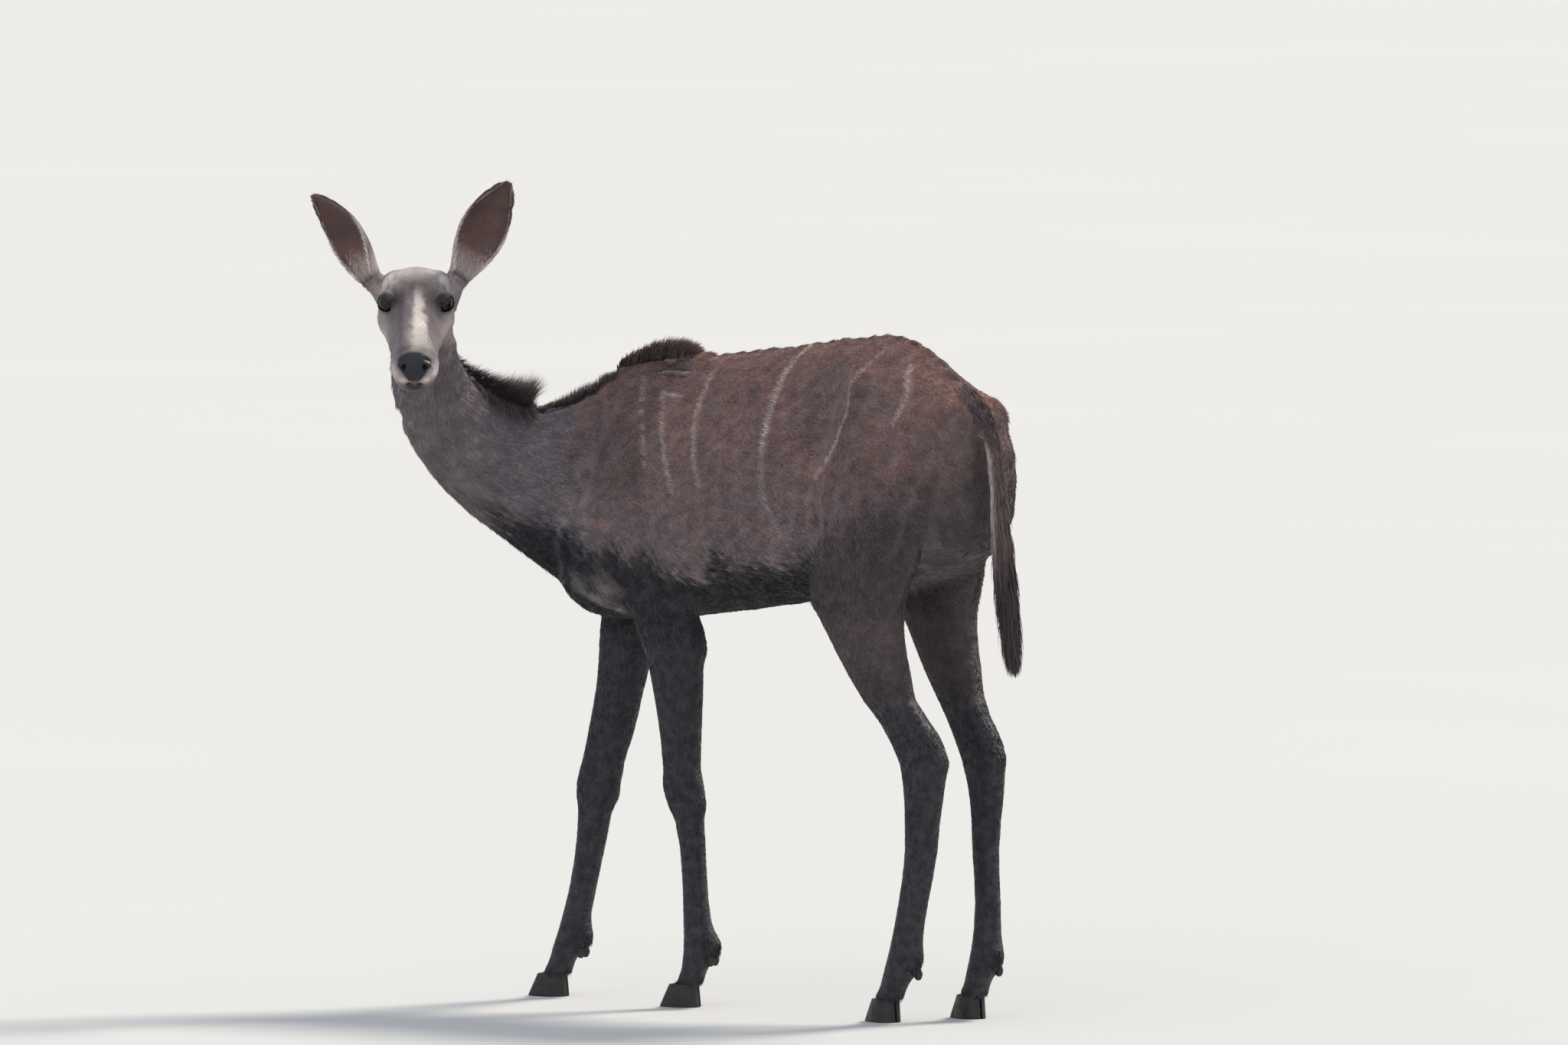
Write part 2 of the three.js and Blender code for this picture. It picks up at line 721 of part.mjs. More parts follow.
function neckCrest(t) {
  const { middle, along, up, above } = neckAt(0.27 + 0.5 * t);
  const high = NECK_MANE * Math.max(Math.sin(Math.PI * t), 0) ** 0.7;
  return { spot: middle.addScaledVector(up, above), up, along, high };
}

// Low ridge that carries a mane, its foot sunk in the flesh
function makeRidge(crest, wide) {
  const steps = 9;
  const rings = [];
  for (let i = 0; i <= steps; i++) {
    const { spot, up, along, high } = crest(i / steps);
    const side = along.clone().cross(up).normalize();
    rings.push(ring(spot, side, up, wide, high * 0.5 + 2, 30, 2, 0.5, 8));
  }
  return skinRings(rings);
}

// Even, repeatable spread of small differences between locks
let seed = 7;
function vary(low, high) {
  seed = (seed * 16807) % 2147483647;
  return low + (high - low) * (seed / 2147483647);
}

// One flat lock of hair: rooted in the flesh, tapering, bending over to the way it lies
function makeLock(root, out, lie, length, width) {
  const steps = 3;
  const rings = [];
  const side = out.clone().cross(lie).normalize();
  for (let i = 0; i <= steps; i++) {
    const t = i / steps;
    const middle = root.clone().addScaledVector(out, length * (t - 0.25 * t * t) - 8)
      .addScaledVector(lie, length * 0.4 * t * t);
    const half = width * (1 - t) ** 0.6 * 0.5 + 0.8;
    const thick = width * 0.22 * (1 - t) + 0.6;
    rings.push([
      middle.clone().addScaledVector(side, half),
      middle.clone().addScaledVector(lie, thick),
      middle.clone().addScaledVector(side, -half),
      middle.clone().addScaledVector(lie, -thick * 0.6),
    ]);
  }
  return solid(skinRings(rings));
}

// Locks in overlapping rows along a crest
function growCrest(body, crest, count, width, rake) {
  let grown = body;
  for (let i = 0; i < count; i++) {
    const row = (i % 3) - 1;
    const { spot, up, along, high } = crest((i + 0.5 + vary(-0.3, 0.3)) / count);
    const side = along.clone().cross(up).normalize();
    const out = up.clone().addScaledVector(side, row * 0.3 + vary(-0.08, 0.08)).normalize();
    const lie = along.clone().normalize().multiplyScalar(rake);
    lie.addScaledVector(side, row * 0.3).normalize();
    const root = spot.clone().addScaledVector(side, row * width * 0.42);
    const length = high * 1.05 + 12 - 4 * Math.abs(row);
    grown = grown.add(makeLock(root, out, lie, length, width));
  }
  return grown;
}

// Locks round the lower tail, hanging down over each other
function growTuft(body, count) {
  let grown = body;
  for (let i = 0; i < count; i++) {
    const t = 0.5 + 0.38 * (i / (count - 1));
    const [x, y, z, half] = blend(TAIL, t);
    const angle = i * 2.4;
    const out = V(0.55 * Math.cos(angle), 0.55 * Math.sin(angle), -1).normalize();
    const lie = V(0.12 - 0.5 * Math.cos(angle), 0.02 - 0.5 * Math.sin(angle), -1);
    const root = V(x + 0.4 * half * Math.cos(angle), y + 0.4 * half * Math.sin(angle), z);
    const length = TUFT_LOCK * vary(0.85, 1.1) * (1.12 - 0.35 * (t - 0.5));
    grown = grown.add(makeLock(root, out, lie.normalize(), length, 15));
  }
  return grown;
}

// Each ear springs from the side of the skull behind the eye; one faces forward, one outward
const EARS = {
  ear_left: { s: 1, tip: [-475, -255, 1566], open: [0.83, -0.6, 0.12] },
  ear_right: { s: -1, tip: [-769, -489, 1540], open: [-0.16, -0.98, 0.02] },
};

// Fleshy cone that carries the ear and closes the bottom of its cup
function earFoot(root, along) {
  const cone = new THREE.CylinderGeometry(17, 26, 62, 12);
  const turn = new THREE.Quaternion().setFromUnitVectors(V(0, 1, 0), along);
  cone.applyQuaternion(turn);
  cone.translate(...root.clone().addScaledVector(along, -2).toArray());
  return solid(cone);
}

const earRoot = (s) => facePoint(26, s * 67, -42);

const group = new THREE.Group();

function material(look) {
  const [color, roughness] = LOOKS[look];
  return new THREE.MeshStandardMaterial({ color, roughness, metalness: 0 });
}

function addPiece(name, body, look) {
  const mesh = new THREE.Mesh(tidiest(body), material(look));
  mesh.name = name;
  group.add(mesh);
}

let trunk = solid(makeTrunk()).add(solid(makeRidge(withersCrest, 22)));
for (const leg of Object.values(LEGS)) trunk = trunk.add(solid(makeLeg(leg)));
trunk = trunk.add(solid(makeNeck())).add(solid(makeRidge(neckCrest, 15)));
trunk = growCrest(trunk, withersCrest, 30, 24, -0.6);
trunk = growCrest(trunk, neckCrest, 30, 21, 0.5);
trunk = growTuft(trunk.add(solid(makeTail())), 20);
trunk = trunk.add(makeHead());

const throat = FACE_UP.clone().addScaledVector(FACE, 0.08);
const cuts = [
  slit([-440, -104, 1000], [-1, -0.62, 0.02], 310),
  slit(facePoint(50, 0, -122).toArray(), throat.toArray(), 175),
  slit([563, -72, 1092], [0.4, 0, -0.9], 25),
];
for (const leg of Object.values(LEGS)) {
  const row = rowAt(leg, leg.cut);
  const p = legPoint(leg, row[0], row[2], leg.cut);
  cuts.push(slit([p.x, p.y, p.z], [0, 0, 1], leg.base === HIP ? 150 : 95));
  const foot = leg.rows[leg.rows.length - 1];
  const q = legPoint(leg, foot[0], foot[2], HOOF_HEIGHT + 30);
  cuts.push(slit([q.x, q.y, HOOF_HEIGHT], [0, 0, 1], 70));
}
for (const { s, tip, open } of Object.values(EARS)) {
  const root = earRoot(s);
  const along = V(...tip).sub(root).normalize();
  trunk = trunk.add(solid(makeEar(root, V(...tip), V(...open)))).add(earFoot(root, along));
  cuts.push(slit(root.clone().addScaledVector(along, 34).toArray(), along.toArray(), 36));
}
for (const cut of cuts) trunk = trunk.subtract(cut);
for (const leg of Object.values(LEGS)) {
  for (const inner of [false, true]) {
    trunk = trunk.subtract(solid(makeDewclaw(leg, inner, GAP * 1.4)));
  }
}
const pieces = trunk.decompose();

addPiece('torso', pieceNear(pieces, [0, 0, 1000]), 'coat');
addPiece('neck', pieceNear(pieces, [-560, -220, 1080]), 'coat');
addPiece('head', pieceNear(pieces, [-560, -440, 1300]), 'face');
addPiece('tail', pieceNear(pieces, [590, -75, 900]), 'tail');
for (const [name, { s, tip }] of Object.entries(EARS)) {
  const middle = earRoot(s).lerp(V(...tip), 0.55);
  addPiece(name, pieceNear(pieces, middle.toArray()), 'ear');
}
for (const [name, leg] of Object.entries(LEGS)) {
  const p = legPoint(leg, leg.rows[10][0], 92, leg.cut / 2);
  addPiece(name, pieceNear(pieces, [p.x, p.y, p.z]), 'mud');
  for (const inner of [false, true]) {
    const which = inner ? 'inner' : 'outer';
    const short = name.replace('leg', '');
    addPiece(`claw_${short}_${which}`, solid(makeClaw(leg, inner)), 'horn');
    addPiece(`dewclaw_${short}_${which}`, solid(makeDewclaw(leg, inner, 0)), 'horn');
  }
}
for (const [name, s] of [['left', 1], ['right', -1]]) {
  const ball = new THREE.SphereGeometry(EYE_RADIUS, 14, 10);
  const p = eyeCentre(s);
  ball.translate(p.x, p.y, p.z);
  addPiece(`eye_${name}`, solid(ball), 'eye');
}

// The origin lies on the ground, under the middle of her box
const box = new THREE.Box3().setFromObject(group);
group.position.set(-(box.min.x + box.max.x) / 2, -(box.min.y + box.max.y) / 2, -box.min.z);
export default group;
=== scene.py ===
"""A greater kudu cow, life size, on a plain pale studio floor.  Metres, +Z up."""

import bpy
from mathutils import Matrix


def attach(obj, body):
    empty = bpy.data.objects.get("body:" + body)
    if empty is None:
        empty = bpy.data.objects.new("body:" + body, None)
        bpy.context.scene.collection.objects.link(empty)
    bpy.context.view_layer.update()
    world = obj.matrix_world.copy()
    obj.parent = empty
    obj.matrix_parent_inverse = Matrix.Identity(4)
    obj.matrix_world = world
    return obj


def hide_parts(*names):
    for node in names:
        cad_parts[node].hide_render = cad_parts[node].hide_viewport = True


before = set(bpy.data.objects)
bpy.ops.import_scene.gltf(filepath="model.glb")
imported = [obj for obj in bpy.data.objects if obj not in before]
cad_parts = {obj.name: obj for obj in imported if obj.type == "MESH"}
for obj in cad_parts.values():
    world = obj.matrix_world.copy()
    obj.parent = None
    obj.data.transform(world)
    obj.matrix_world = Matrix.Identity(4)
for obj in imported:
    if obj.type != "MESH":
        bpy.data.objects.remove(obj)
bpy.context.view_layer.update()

import math

import bpy
import numpy as np
from mathutils import Vector
from mathutils.bvhtree import BVHTree
from mathutils.kdtree import KDTree

IMAGE = (2048, 1365)               # the picture that the camera frames
AZIMUTH, ELEVATION = 40, 3         # where the camera stands, degrees
DISTANCE = 42.0
PIXELS_PER_METRE = 688
AIM = (-0.0058, 0.9237)            # right and up from the ground point to the picture's middle
SENSOR = 36.0
FLOOR_HALF = 300.0

# The animal is measured in millimetres from a ground point under her trunk
SHIFT = np.array([0.07665, 0.19889, 0.0])
REAR_BEND, FRONT_BEND = 0.00022, 0.00041   # sideways bend of her spine
PELVIS_YAW, SHOULDER_YAW, HEAD_YAW = 7, -20, -130
HEAD_PITCH = 30
POLL = np.array([-624.0, -352.0, 1410.0])
HIP, WITHERS = (396, -46), (-298, -26)
EYE_RADIUS, EYE_ALONG, EYE_APART, EYE_DROP = 20, 112, 51, -16
EYE_OPENING = (19.5, 12.5)         # half length and half height of the gap between the lids
LID_GAP = 0.7
HOOF_TOP = 44

# The solids that the skin replaces, and the part of the animal that each belongs to
FLESH = {"torso": "trunk", "neck": "neck", "head": "head", "tail": "tail",
         "ear_left": "ear", "ear_right": "ear", "foreleg_left": "leg", "foreleg_right": "leg",
         "hindleg_left": "leg", "hindleg_right": "leg"}
PARTS = ("trunk", "neck", "head", "tail", "ear", "leg")
VOXEL = 0.0078
HEAD_ZOOM = 4.0                    # how much finer the head and ears are meshed
HEAD_REACH = 0.26
GROWTH, EAR_GROWTH = 0.0004, 0.0018        # how far solids swell before they are joined, metres
DENSITY = 1.0      # share of the tufts that are made
MOST_TRIANGLES = 190000            # of one piece of hair
PATCH = 0.003                      # size of a tuft on the unwrap

draw = np.random.default_rng(41)
scene = bpy.context.scene
scene.view_settings.view_transform = "Standard"


# Small helpers

def unit(v):
    v = np.asarray(v, float)
    return v / np.maximum(np.linalg.norm(v, axis=-1, keepdims=True), 1e-9)


def ramp(x, low, high):
    t = np.clip((x - low) / (high - low), 0, 1)
    return t * t * (3 - 2 * t)


def hill(away, reach):
    return np.exp(-(away / reach) ** 2)


def forward(yaw):
    return np.array([-math.cos(math.radians(yaw)), math.sin(math.radians(yaw)), 0.0])


def left_of(yaw):
    return np.array([-math.sin(math.radians(yaw)), -math.cos(math.radians(yaw)), 0.0])


def midline(x):
    return -np.where(x > 0, REAR_BEND, FRONT_BEND) * x * x


FACE = forward(HEAD_YAW) * math.cos(math.radians(HEAD_PITCH))
FACE = FACE + np.array([0, 0, -math.sin(math.radians(HEAD_PITCH))])
FACE_LEFT = left_of(HEAD_YAW)
FACE_UP = unit(np.cross(FACE, FACE_LEFT))
FACE_AXES = np.array([FACE, FACE_LEFT, FACE_UP])


def face_point(along, left, up):
    return POLL + np.array([along, left, up]) @ FACE_AXES


def on_face(points):
    """Points as along, aside and up from the poll, the right side folded onto the left."""
    own = (points - POLL) @ FACE_AXES.T
    own[:, 1] = np.abs(own[:, 1])
    return own


def in_scene(points):
    """From the animal's millimetres to the scene's metres."""
    return (points + SHIFT * 1000) / 1000


def eye_centre(side):
    return face_point(EYE_ALONG, side * EYE_APART, EYE_DROP)


def eye_axes(side):
    """Where an eye looks, and the level and upright axes of its opening."""
    look = unit(FACE_LEFT * side + 0.75 * FACE + 0.34 * FACE_UP)
    level = unit(np.cross(look, [0, 0, 1.0]))
    return look, level, np.cross(look, level)


def eye_gap(points):
    """Distance to the middle of the nearer eye."""
    return np.minimum(*(np.linalg.norm(points - eye_centre(s), axis=1) for s in (1, -1)))


WAVES = {}


def ripple(p, size, key=0):
    """Soft, repeatable noise between about -1 and 1 over points in millimetres."""
    if (size, key) not in WAVES:
        own = np.random.default_rng(1000 + key)
        ways = unit(own.normal(size=(14, 3))) * (2 * math.pi / size) * own.uniform(.6, 1.7, (14, 1))
        WAVES[size, key] = ways, own.uniform(0, 2 * math.pi, 14)
    ways, phase = WAVES[size, key]
    return np.sin(p @ ways.T + phase).sum(1) / 3.6


def to_line(p, line):
    """Distance of points to a bent line, and how far along it (0 to 1) the nearest spot is."""
    line = np.asarray(line, float)
    best = np.full(len(p), 1e9)
    at = np.zeros(len(p))
    for i in range(len(line) - 1):
        a, d = line[i], line[i + 1] - line[i]
        t = np.clip(((p - a) @ d) / max(d @ d, 1e-9), 0, 1)
        away = np.linalg.norm(p - a - t[:, None] * d, axis=1)
        near = away < best
        best[near] = away[near]
        at[near] = (i + t[near]) / (len(line) - 1)
    return best, at


def along_rows(rows, t):
    """Smooth blend through the rows of a table, for an array t from 0 to 1."""
    rows = np.asarray(rows, float)
    last = len(rows) - 1
    at = np.clip(np.atleast_1d(t), 0, 1) * last
    i = np.minimum(at.astype(int), last - 1)
    f = (at - i)[:, None]
    a, b, c, d = (rows[np.clip(i + k, 0, last)] for k in (-1, 0, 1, 2))
    return ((2 * f**3 - 3 * f**2 + 1) * b + (f**3 - 2 * f**2 + f) * (c - a) / 2
            + (3 * f**2 - 2 * f**3) * c + (f**3 - f**2) * (d - b) / 2)


# Camera, light and floor

def toward(azimuth, height):
    """The way from the animal to a camera or a lamp."""
    a, e = math.radians(azimuth), math.radians(height)
    return Vector((math.sin(a) * math.cos(e), -math.cos(a) * math.cos(e), math.sin(e)))


def turned(data, name, turn):
    ob = link(data, name)
    ob.rotation_mode = "QUATERNION"
    ob.rotation_quaternion = turn
    return ob


def make_camera():
    a = math.radians(AZIMUTH)
    right, back = Vector((math.cos(a), math.sin(a), 0)), toward(AZIMUTH, ELEVATION)
    data = bpy.data.cameras.new("camera")
    data.sensor_width = SENSOR
    data.lens = SENSOR * DISTANCE / (IMAGE[0] / PIXELS_PER_METRE)
    data.clip_start, data.clip_end = 1.0, 1000.0
    scene.camera = turned(data, "camera", (-back).to_track_quat("-Z", "Y"))
    scene.camera.location = (Vector(SHIFT) + right * AIM[0] + back.cross(right) * AIM[1]
                             + back * DISTANCE)


def sun(name, azimuth, height, strength, softness, colour):
    data = bpy.data.lights.new(name, "SUN")
    data.energy, data.angle, data.color = strength, math.radians(softness), colour
    turned(data, name, toward(azimuth, height).to_track_quat("Z", "Y"))


def make_studio():
    scene.world = bpy.data.worlds.new("studio")
    scene.world.use_nodes = True
    sky = scene.world.node_tree.nodes["Background"]
    sky.inputs["Color"].default_value = (0.84, 0.90, 1.0, 1)
    sky.inputs["Strength"].default_value = 0.62
    sun("key", AZIMUTH + 128, 52, 2.9, 14, (1.0, 0.93, 0.82))
    sun("fill", AZIMUTH - 20, 35, 0.55, 60, (0.93, 0.96, 1.0))
    square = np.array([(-1, -1, 0), (1, -1, 0), (1, 1, 0), (-1, 1, 0)]) * FLOOR_HALF
    floor = link(mesh_of("floor", square, np.array([[0, 1, 2, 3]])), "floor")
    n = Nodes("floor")
    tone = n.ramp(n.noise(0.35, 2.0), [(0.3, (0.62, 0.615, 0.60)), (0.7, (0.635, 0.63, 0.615))])
    n.put(Base_Color=tone, Roughness=0.85)
    floor.data.materials.append(n.material)


# Meshes

def mesh_of(name, points, faces):
    me = bpy.data.meshes.new(name)
    me.vertices.add(len(points))
    me.vertices.foreach_set("co", np.ascontiguousarray(points, np.float32).ravel())
    me.loops.add(faces.size)
    me.loops.foreach_set("vertex_index", np.ascontiguousarray(faces, np.int32).ravel())
    me.polygons.add(len(faces))
    me.polygons.foreach_set("loop_start",
                            np.arange(0, faces.size, faces.shape[1], dtype=np.int32))
    me.update(calc_edges=True)
    me.polygons.foreach_set("use_smooth", np.ones(len(faces), bool))
    return me


def link(data, name):
    ob = bpy.data.objects.new(name, data)
    scene.collection.objects.link(ob)
    return ob


def read(items, field, each, wide, kind=float):
    """A field of a mesh's items, each numbers for every item, as rows of wide numbers."""
    out = np.zeros(len(items) * each, kind)
    items.foreach_get(field, out)
    return out.reshape(-1, wide)


def points_of(me):
    return read(me.vertices, "co", 3, 3)


def corners_of(me, sides):
    return read(me.loops, "vertex_index", 1, sides, np.int32)


def normals_of(points, faces):
    ends = (0, 2, 1, 3) if faces.shape[1] == 4 else (0, 1, 0, 2)
    a, b, c, d = (points[faces[:, k]] for k in ends)
    flat = np.cross(b - a, d - c)
    out = np.zeros_like(points)
    for k in range(3):
        for corner in faces.T:
            out[:, k] += np.bincount(corner, flat[:, k], len(points))
    return unit(out)


def averaged(values, edges):
    """The mean of each point's neighbours."""
    a, b = edges.T
    n = len(values)
    share = np.maximum(np.bincount(a, minlength=n) + np.bincount(b, minlength=n), 1)
    values = values.reshape(n, -1)
    out = np.empty_like(values)
    for k in range(values.shape[1]):
        out[:, k] = (np.bincount(a, values[b, k], n) + np.bincount(b, values[a, k], n)) / share
    return out


def smoothed(points, edges, rounds, share):
    """Evens out facets without shrinking."""
    share = np.asarray(share).reshape(-1, 1)
    for _ in range(rounds):
        points = points + share * 0.55 * (averaged(points, edges) - points)
        points = points - share * 0.575 * (averaged(points, edges) - points)
    return points


def put_values(me, name, values):
    me.attributes.new(name, "FLOAT", "POINT").data.foreach_set("value", np.float32(values))


def put_colours(me, name, values):
    full = np.ones((len(values), 4), np.float32)
    full[:, :3] = values
    me.attributes.new(name, "FLOAT_COLOR", "POINT").data.foreach_set("color", full.ravel())


# Materials

class Nodes:
    """A material under construction."""

    def __init__(self, name):
        self.material = bpy.data.materials.new(name)
        self.material.use_nodes = True
        self.tree = self.material.node_tree
        self.surface = self.tree.nodes["Principled BSDF"]

    def feed(self, socket, value):
        """Sets a socket to a number or a colour, or links a node or another socket to it."""
        if isinstance(value, (int, float)):
            socket.default_value = value
        elif isinstance(value, (tuple, np.ndarray)):
            socket.default_value = (*value, 1)[:len(socket.default_value)]
        else:
            self.tree.links.new(getattr(value, "outputs", [value])[0], socket)

    def put(self, node=None, **values):
        """Feeds named inputs of a node, or of the surface."""
        for name, value in values.items():
            self.feed((node or self.surface).inputs[name.replace("_", " ")], value)

    def new(self, kind, **values):
        made = self.tree.nodes.new("ShaderNode" + kind)
        self.put(made, **values)
        return made

    def attribute(self, name, output="Fac"):
        made = self.new("Attribute")
        made.attribute_name = name
        return made.outputs[output]

    def channels(self, name):
        return self.new("SeparateColor", Color=self.attribute(name, "Color")).outputs

    def ramp(self, source, stops):
        made = self.new("ValToRGB", Fac=source)
        bar = made.color_ramp
        while len(bar.elements) < len(stops):
            bar.elements.new(0.5)
        for element, (at, colour) in zip(bar.elements, stops):
            element.position = at
            element.color = (*colour, 1) if isinstance(colour, tuple) else (colour,) * 3 + (1,)
        return made

    def mix(self, share, a, b, kind="MIX"):
        made = self.new("Mix")
        made.data_type, made.blend_type = "RGBA", kind
        for i, value in ((0, share), (6, a), (7, b)):
            self.feed(made.inputs[i], value)
        return made.outputs[2]

    def maths(self, kind, a, b=0.0, family="Math"):
        made = self.new(family)
        made.operation = kind
        self.feed(made.inputs[0], a)
        self.feed(made.inputs[1], b)
        return made.outputs["Value" if kind == "DOT_PRODUCT" else 0]

    def position(self):
        return self.new("NewGeometry").outputs["Position"]

    def noise(self, scale, detail=4.0, stretch=None):
        where = self.position()
        if stretch:
            where = self.new("Mapping", Vector=where, Scale=stretch)
        return self.new("TexNoise", Vector=where, Scale=scale, Detail=detail)

    def bump(self, height, strength, distance):
        self.put(Normal=self.new("Bump", Height=height, Strength=strength, Distance=distance))


def shade(rgb):
    """An 8-bit screen colour as the linear colour that materials take."""
    c = np.array(rgb, float) / 255
    return tuple(float(x) for x in np.where(c <= .04045, c / 12.92, ((c + .055) / 1.055) ** 2.4))


COAT = shade((136, 110, 107))
GREY = shade((134, 129, 136))
DARK = shade((56, 45, 49))
PALE = shade((246, 234, 226))
# Lighter warm brown: the coat's own rusty tone, also used as painted sunlight on upward faces and
# as a painted glow inside the ears
RUST_AND_SUNLIT = shade((180, 131, 115))
FLESH_DARK = shade((32, 31, 38))


def coat_material(name, tufts, tip_tone=1.25):
    """Hair colour from the markings and painted light: tone is grey, dark and pale; mark is mud,
    rust with painted sunlight, and skin.
    """
    n = Nodes(name)
    grey, dark, pale = n.channels("tone")
    mud, rust_and_sunlit, bare = n.channels("mark")
    base = COAT
    for share, colour in ((grey, GREY), (rust_and_sunlit, RUST_AND_SUNLIT), (dark, DARK), (pale, PALE)):
        base = n.mix(share, base, colour)
    dapple = [n.ramp(n.noise(26.0, 5.0), [(0.3, 0.80), (0.7, 1.16)]),
              n.ramp(n.noise(420.0, 3.0), [(0.25, 0.74), (0.75, 1.22)])]
    if tufts:
        dapple += [n.ramp(n.attribute("lot"), [(0.0, 0.68), (0.5, 0.98), (1.0, 1.34)]),
                   n.ramp(n.attribute("tip"), [(0.0, 0.62), (0.45, 0.98), (1.0, tip_tone)])]
    for shades in dapple:
        base = n.mix(1.0, base, shades, "MULTIPLY")
    if not tufts:
        base = n.mix(0.35, base, (0.1, 0.07, 0.06), "MULTIPLY")
        n.bump(n.noise(900.0, 3.0), 0.35, 0.0012)
    wet = n.ramp(n.noise(60.0, 6.0), [(0.35, shade((24, 26, 32))), (0.68, shade((56, 56, 62)))])
    base = n.mix(bare, n.mix(mud, base, wet), FLESH_DARK)
    damp = n.ramp(n.noise(45.0, 5.0), [(0.35, 0.34), (0.7, 0.62)])
    rough = n.mix(bare, n.mix(mud, (0.72,) * 3, damp), (0.36,) * 3)
    n.put(Base_Color=base, Roughness=rough, Sheen_Weight=0.12, Sheen_Roughness=0.45,
          Specular_IOR_Level=0.35)
    return n.material


# The body's own lines

# Neck, root to skull: x, y, height, half width, how far it reaches above and below
NECK = [
    [-345, -50, 1010, 62, 140, 170], [-400, -75, 1010, 88, 158, 224],
    [-450, -112, 1010, 88, 134, 206], [-500, -160, 1018, 78, 112, 150],
    [-548, -212, 1040, 70, 96, 114], [-585, -262, 1084, 65, 86, 94],
    [-608, -300, 1140, 62, 80, 86], [-618, -324, 1200, 62, 76, 82],
    [-620, -340, 1262, 62, 72, 76], [-616, -352, 1318, 60, 62, 66],
]
# Tail, root to tip: x, y, height, radius
TAIL = [
    [440, -48, 1196, 26], [492, -57, 1176, 24], [538, -66, 1136, 19], [564, -73, 1090, 16],
    [578, -77, 1035, 15], [587, -80, 970, 15], [595, -80, 900, 15], [603, -78, 830, 14],
    [609, -77, 775, 11], [613, -76, 735, 7], [615, -75, 712, 3],
]
# Legs: forward of the base point, height, side offset, half depth, half width
LEG_ROWS = {
    "foreleg_left": [
        [0, 1030, 74, 88, 36], [0, 930, 92, 92, 44], [-38, 780, 100, 72, 42],
        [-70, 655, 97, 50, 36], [-80, 520, 94, 35, 28], [-88, 405, 91, 31, 27],
        [-104, 290, 90, 19, 18], [-113, 155, 90, 23, 21], [-118, 112, 90, 28, 25],
        [-97, 48, 90, 27, 27]],
    "foreleg_right": [
        [10, 1030, 74, 88, 36], [40, 930, 92, 90, 44], [80, 780, 100, 68, 42],
        [103, 655, 97, 48, 36], [130, 520, 94, 38, 30], [156, 405, 91, 33, 28],
        [172, 290, 90, 22, 20], [200, 155, 90, 23, 21], [211, 108, 90, 27, 25],
        [238, 48, 90, 28, 27]],
    "hindleg_left": [
        [10, 1070, 78, 116, 44], [40, 960, 100, 140, 58], [78, 800, 116, 116, 56],
        [36, 670, 110, 72, 42], [-42, 545, 100, 47, 28], [-70, 495, 96, 43, 26],
        [-66, 385, 92, 26, 21], [-44, 235, 90, 24, 20], [-16, 115, 90, 30, 26],
        [22, 48, 90, 28, 27]],
    "hindleg_right": [
        [20, 1070, 78, 116, 44], [64, 960, 100, 138, 58], [112, 800, 116, 104, 56],
        [66, 670, 110, 64, 40], [-6, 545, 99, 43, 27], [-33, 495, 96, 40, 25],
        [-49, 385, 92, 23, 19], [-57, 235, 90, 20, 17], [-50, 115, 90, 27, 24],
        [-20, 48, 90, 27, 27]],
}
# Ears: tip and the way the cup opens
EARS = {
    1: ((-475, -255, 1566), (0.83, -0.6, 0.12)),
    -1: ((-769, -489, 1540), (-0.16, -0.98, 0.02)),
}
# Ear: how far out, half width, roll in degrees
EAR = [[0.0, 15, 140], [0.1, 20, 125], [0.2, 28, 106], [0.3, 38, 90], [0.4, 46, 78],
       [0.52, 50, 68], [0.64, 48, 60], [0.76, 41, 55], [0.88, 30, 50], [0.96, 17, 44],
       [1.0, 6, 38]]
EAR_HALF_WIDTH = 49


def leg_frame(name):
    base, yaw = (WITHERS, SHOULDER_YAW) if name.startswith("fore") else (HIP, PELVIS_YAW)
    return np.array([*base, 0.0]), forward(yaw), left_of(yaw) * (1 if name.endswith("left") else -1)


def leg_line(name, ahead=0.0, across=0.0):
    """A line down a leg, moved by shares of its half depth and half width."""
    base, fore, side = leg_frame(name)
    return np.array([base + fore * (f + ahead * deep) + side * (s + across * wide)
                     + np.array([0, 0, z]) for f, z, s, deep, wide in LEG_ROWS[name]])


def neck_frames(t):
    """Middle, along, side, up, half width, above and below of the neck at t, root to skull."""
    t = np.atleast_1d(t)
    rows = along_rows(NECK, t)
    ahead = unit(along_rows(NECK, t + 0.01)[:, :3] - along_rows(NECK, t - 0.01)[:, :3])
    side = unit(np.cross([0, 0, 1.0], ahead))
    turn = (np.clip((t - 0.6) / 0.4, 0, 1) * 0.8)[:, None]
    side = unit(side * (1 - turn) + left_of(HEAD_YAW) * turn)
    up = unit(np.cross(ahead, side))
    return rows[:, :3], ahead, side, up, rows[:, 3], rows[:, 4], rows[:, 5]


def ear_frame(side):
    """Root, way out, length, the way the cup opens and the way across of an ear."""
    root = face_point(26, side * 67, -42)
    tip, way = (np.array(v, float) for v in EARS[side])
    along = unit(tip - root)
    face = unit(way - along * (way @ along))
    return root, along, np.linalg.norm(tip - root), face, np.cross(along, face)


def ear_points(side, out, bend):
    """Points on the ear's sheet: out from root to tip, bend -1 to 1 from rim to rim."""
    root, along, length, face, across = ear_frame(side)
    rows = along_rows(EAR, out)
    angle = np.radians(rows[:, 2])
    radius = rows[:, 1] * EAR_HALF_WIDTH / 54 / np.sin(np.minimum(angle, math.pi / 2))
    middle = (root + along * (out * length)[:, None]
              + face * (radius * 0.55 - 14 * np.sin(math.pi * out))[:, None])
    a = (angle * bend)[:, None]
    return middle + across * radius[:, None] * np.sin(a) - face * radius[:, None] * np.cos(a)


# Skin

HEAD_MIDDLE = face_point(118, 0, 10) / 1000


